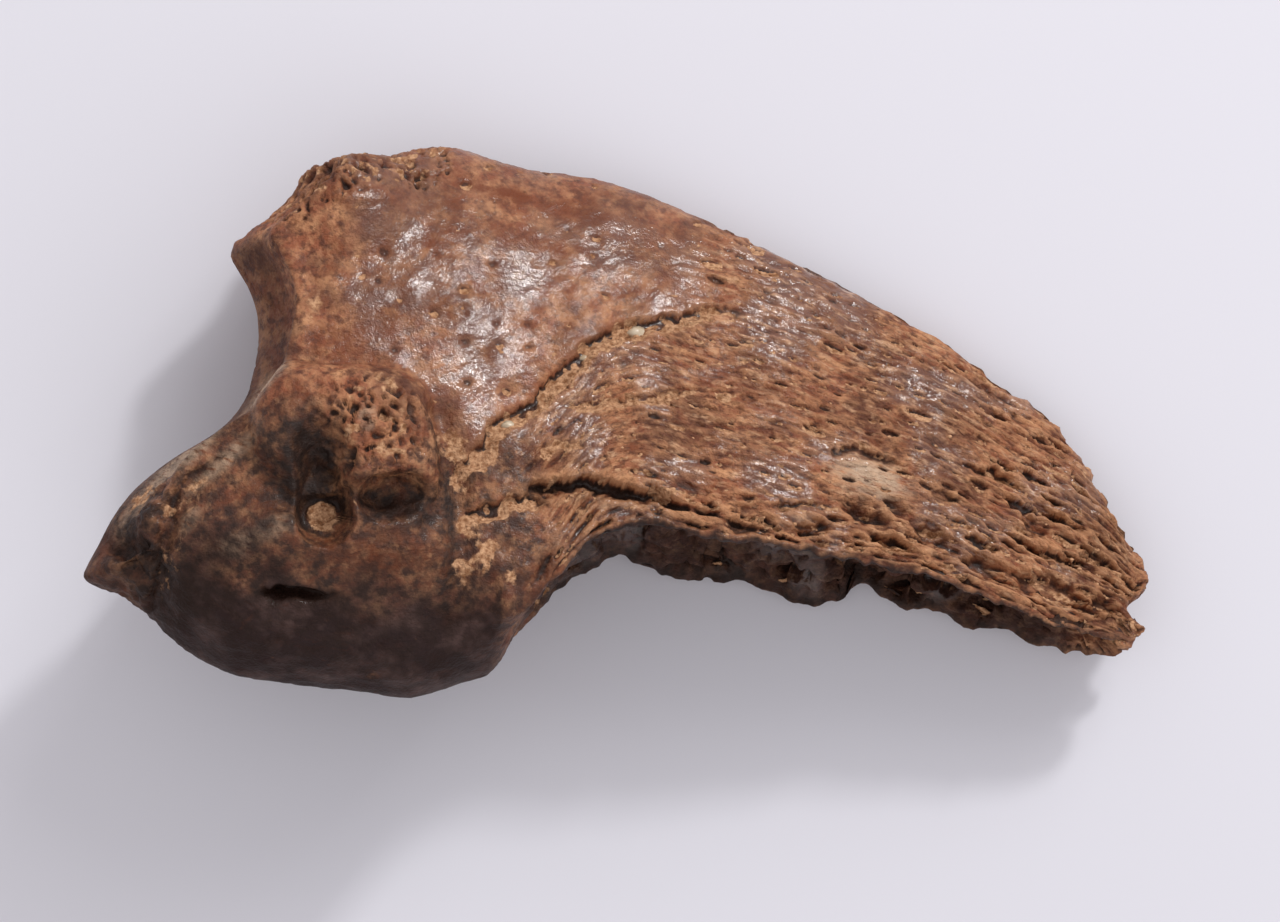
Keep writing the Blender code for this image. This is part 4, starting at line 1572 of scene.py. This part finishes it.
@dataclass
class Grains:
    """Loose grains that sit half sunk in the surface, each a slightly lumpy oval."""

    skin: Skin
    pose: RestingPose
    rings: int = 6
    columns: int = 8

    def placed(
        self, name: str, finish: Speckled, centres: Array, radii: Array, lumpy: float
    ) -> bpy.types.Object:
        """One object of many grains.

        Args:
            name: the object's name.
            finish: what they are made of.
            centres: middle of each grain in the bone's frame.
            radii: the three half sizes of each.
            lumpy: how far they are from oval, as a share of their size.

        Returns:
            The object.
        """
        fall = np.linspace(0.25, math.pi - 0.25, self.rings)
        theta, turn = np.meshgrid(fall, np.arange(self.columns) * 2 * math.pi / self.columns, indexing="ij")
        ball = np.stack([-np.cos(theta), np.sin(theta) * np.cos(turn), np.sin(theta) * np.sin(turn)], -1)
        several = ball[None] + 3.7 * np.arange(len(centres))[:, None, None, None]
        lumps = 1 + lumpy * noise(several * 1.1, 50.0)
        nets = centres[:, None, None] + ball * radii[:, None, None] * lumps[..., None]
        made = shown(name, closed_mesh(name, self.pose.laid(nets)))
        made.data.materials.append(finish.material())
        return made

    def crumbs(self, count: int = 600) -> bpy.types.Object:
        """Crumbs of clay, scattered by chance over the places where clay lies.

        Args:
            count: number of crumbs.

        Returns:
            Their object.
        """
        laid = (self.skin.marks.clay > 0.85) & (self.skin.points[..., 2] > 1.0)
        points, normal = self.skin.points[laid], self.skin.normal[laid]
        order = np.argsort(chance(np.floor(points * 40), 51.0))[:count]
        points, normal = points[order], normal[order]
        size = (0.04 + 0.09 * chance(np.floor(points * 40), 52.0) ** 2)[:, None]
        radii = size * np.array([1.25, 0.9, 0.8])
        return self.placed("clay_crumbs", CAVE_CLAY, points - normal * 0.2 * size, radii, 0.2)

    def quartz(self, places: Knots = ((1.1, 4.55), (-6.3, -1.6), (-1.9, 2.8))) -> bpy.types.Object:
        """The largest grains of sand in the fissure.

        Args:
            places: where they lie, seen from above.

        Returns:
            Their object.
        """
        found = [self.skin.above(x, y) for x, y in places]
        radii = np.array([(0.5, 0.36, 0.3), (0.42, 0.26, 0.2), (0.3, 0.2, 0.18)])
        centres = np.array([point - normal * 0.08 for point, normal in found])
        return self.placed("quartz_grains", QUARTZ, centres, radii, 0.4)


# ---------------------------------------------------------------- studio


@dataclass(frozen=True)
class Lamp:
    """A square lamp that points at the bone. Lengths are in metres."""

    name: str
    place: Vector
    size: float
    watts: float

    def hang(self) -> None:
        """Puts it in the scene."""
        light = bpy.data.lights.new(self.name, "AREA")
        light.size = self.size
        light.energy = self.watts
        lamp = shown(self.name, light)
        lamp.location = self.place
        x, y, z = self.place
        lamp.rotation_euler = (math.acos(z / math.hypot(x, y, z)), 0, math.atan2(x, -y))


@dataclass(frozen=True)
class Studio:
    """A pale table, two lamps beyond the bone's back, a soft fill, and the camera straight above."""

    floor_tone: str = "#d7d6dd"
    floor_half: float = 0.6
    eye: Vector = (1.006, -2.323, 411.0)
    lens_mm: float = 200.0
    sky_tone: tuple[float, float, float, float] = (0.97, 0.945, 0.965, 1.0)
    sky_strength: float = 0.77
    lamps: tuple[Lamp, ...] = (
        Lamp("key", (0.25, 0.40, 0.34), 0.26, 0.95),
        Lamp("spark", (0.26, 0.41, 0.32), 0.055, 1.4),
        Lamp("fill", (0.2, -0.5, 0.5), 0.5, 0.25),
    )

    def floor(self) -> bpy.types.Object:
        """A flat square of table.

        Returns:
            The table's object.
        """
        half = self.floor_half
        corners = [(-half, -half, 0), (half, -half, 0), (half, half, 0), (-half, half, 0)]
        mesh = bpy.data.meshes.new("table")
        mesh.from_pydata(corners, [], [(0, 1, 2, 3)])
        card = {"Base Color": linear(self.floor_tone), "Roughness": 0.9, "Specular IOR Level": 0.2}
        mesh.materials.append(Nodes("matt_card", card).material)
        return shown("table", mesh)

    def light(self) -> None:
        """The lamps and an even sky."""
        for lamp in self.lamps:
            lamp.hang()
        world = bpy.data.worlds.new("sky")
        world.use_nodes = True
        sky = world.node_tree.nodes["Background"]
        sky.inputs["Color"].default_value = self.sky_tone
        sky.inputs["Strength"].default_value = self.sky_strength
        bpy.context.scene.world = world
        bpy.context.scene.view_settings.view_transform = "Standard"

    def camera(self) -> None:
        """Straight down, with a long lens, so that 1280 pixels take in 72 millimetres."""
        data = bpy.data.cameras.new("camera")
        data.lens = self.lens_mm
        data.sensor_width = 36.0
        data.clip_start = 0.01
        camera = shown("camera", data)
        camera.location = [c * MM for c in self.eye]
        bpy.context.scene.camera = camera


def main() -> None:
    """Builds the studio and each piece."""
    logging.basicConfig(level=logging.INFO, format="%(name)s: %(message)s", stream=sys.stdout)
    studio = Studio()
    studio.camera()
    studio.light()
    studio.floor()
    skin, pose = Skin.solved(), RestingPose()
    grains = Grains(skin, pose)
    bone, crumbs, quartz = ClawBone(skin, pose).build(), grains.crumbs(), grains.quartz()
    for piece, slot in ((bone, "fossil_bone"), (crumbs, "cave_sediment"), (quartz, "cave_sediment")):
        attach(piece, BODY)
        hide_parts(NODE)
        log.info("%s: %d faces", piece.name, len(piece.data.polygons))


if __name__ == "__main__":
    main()
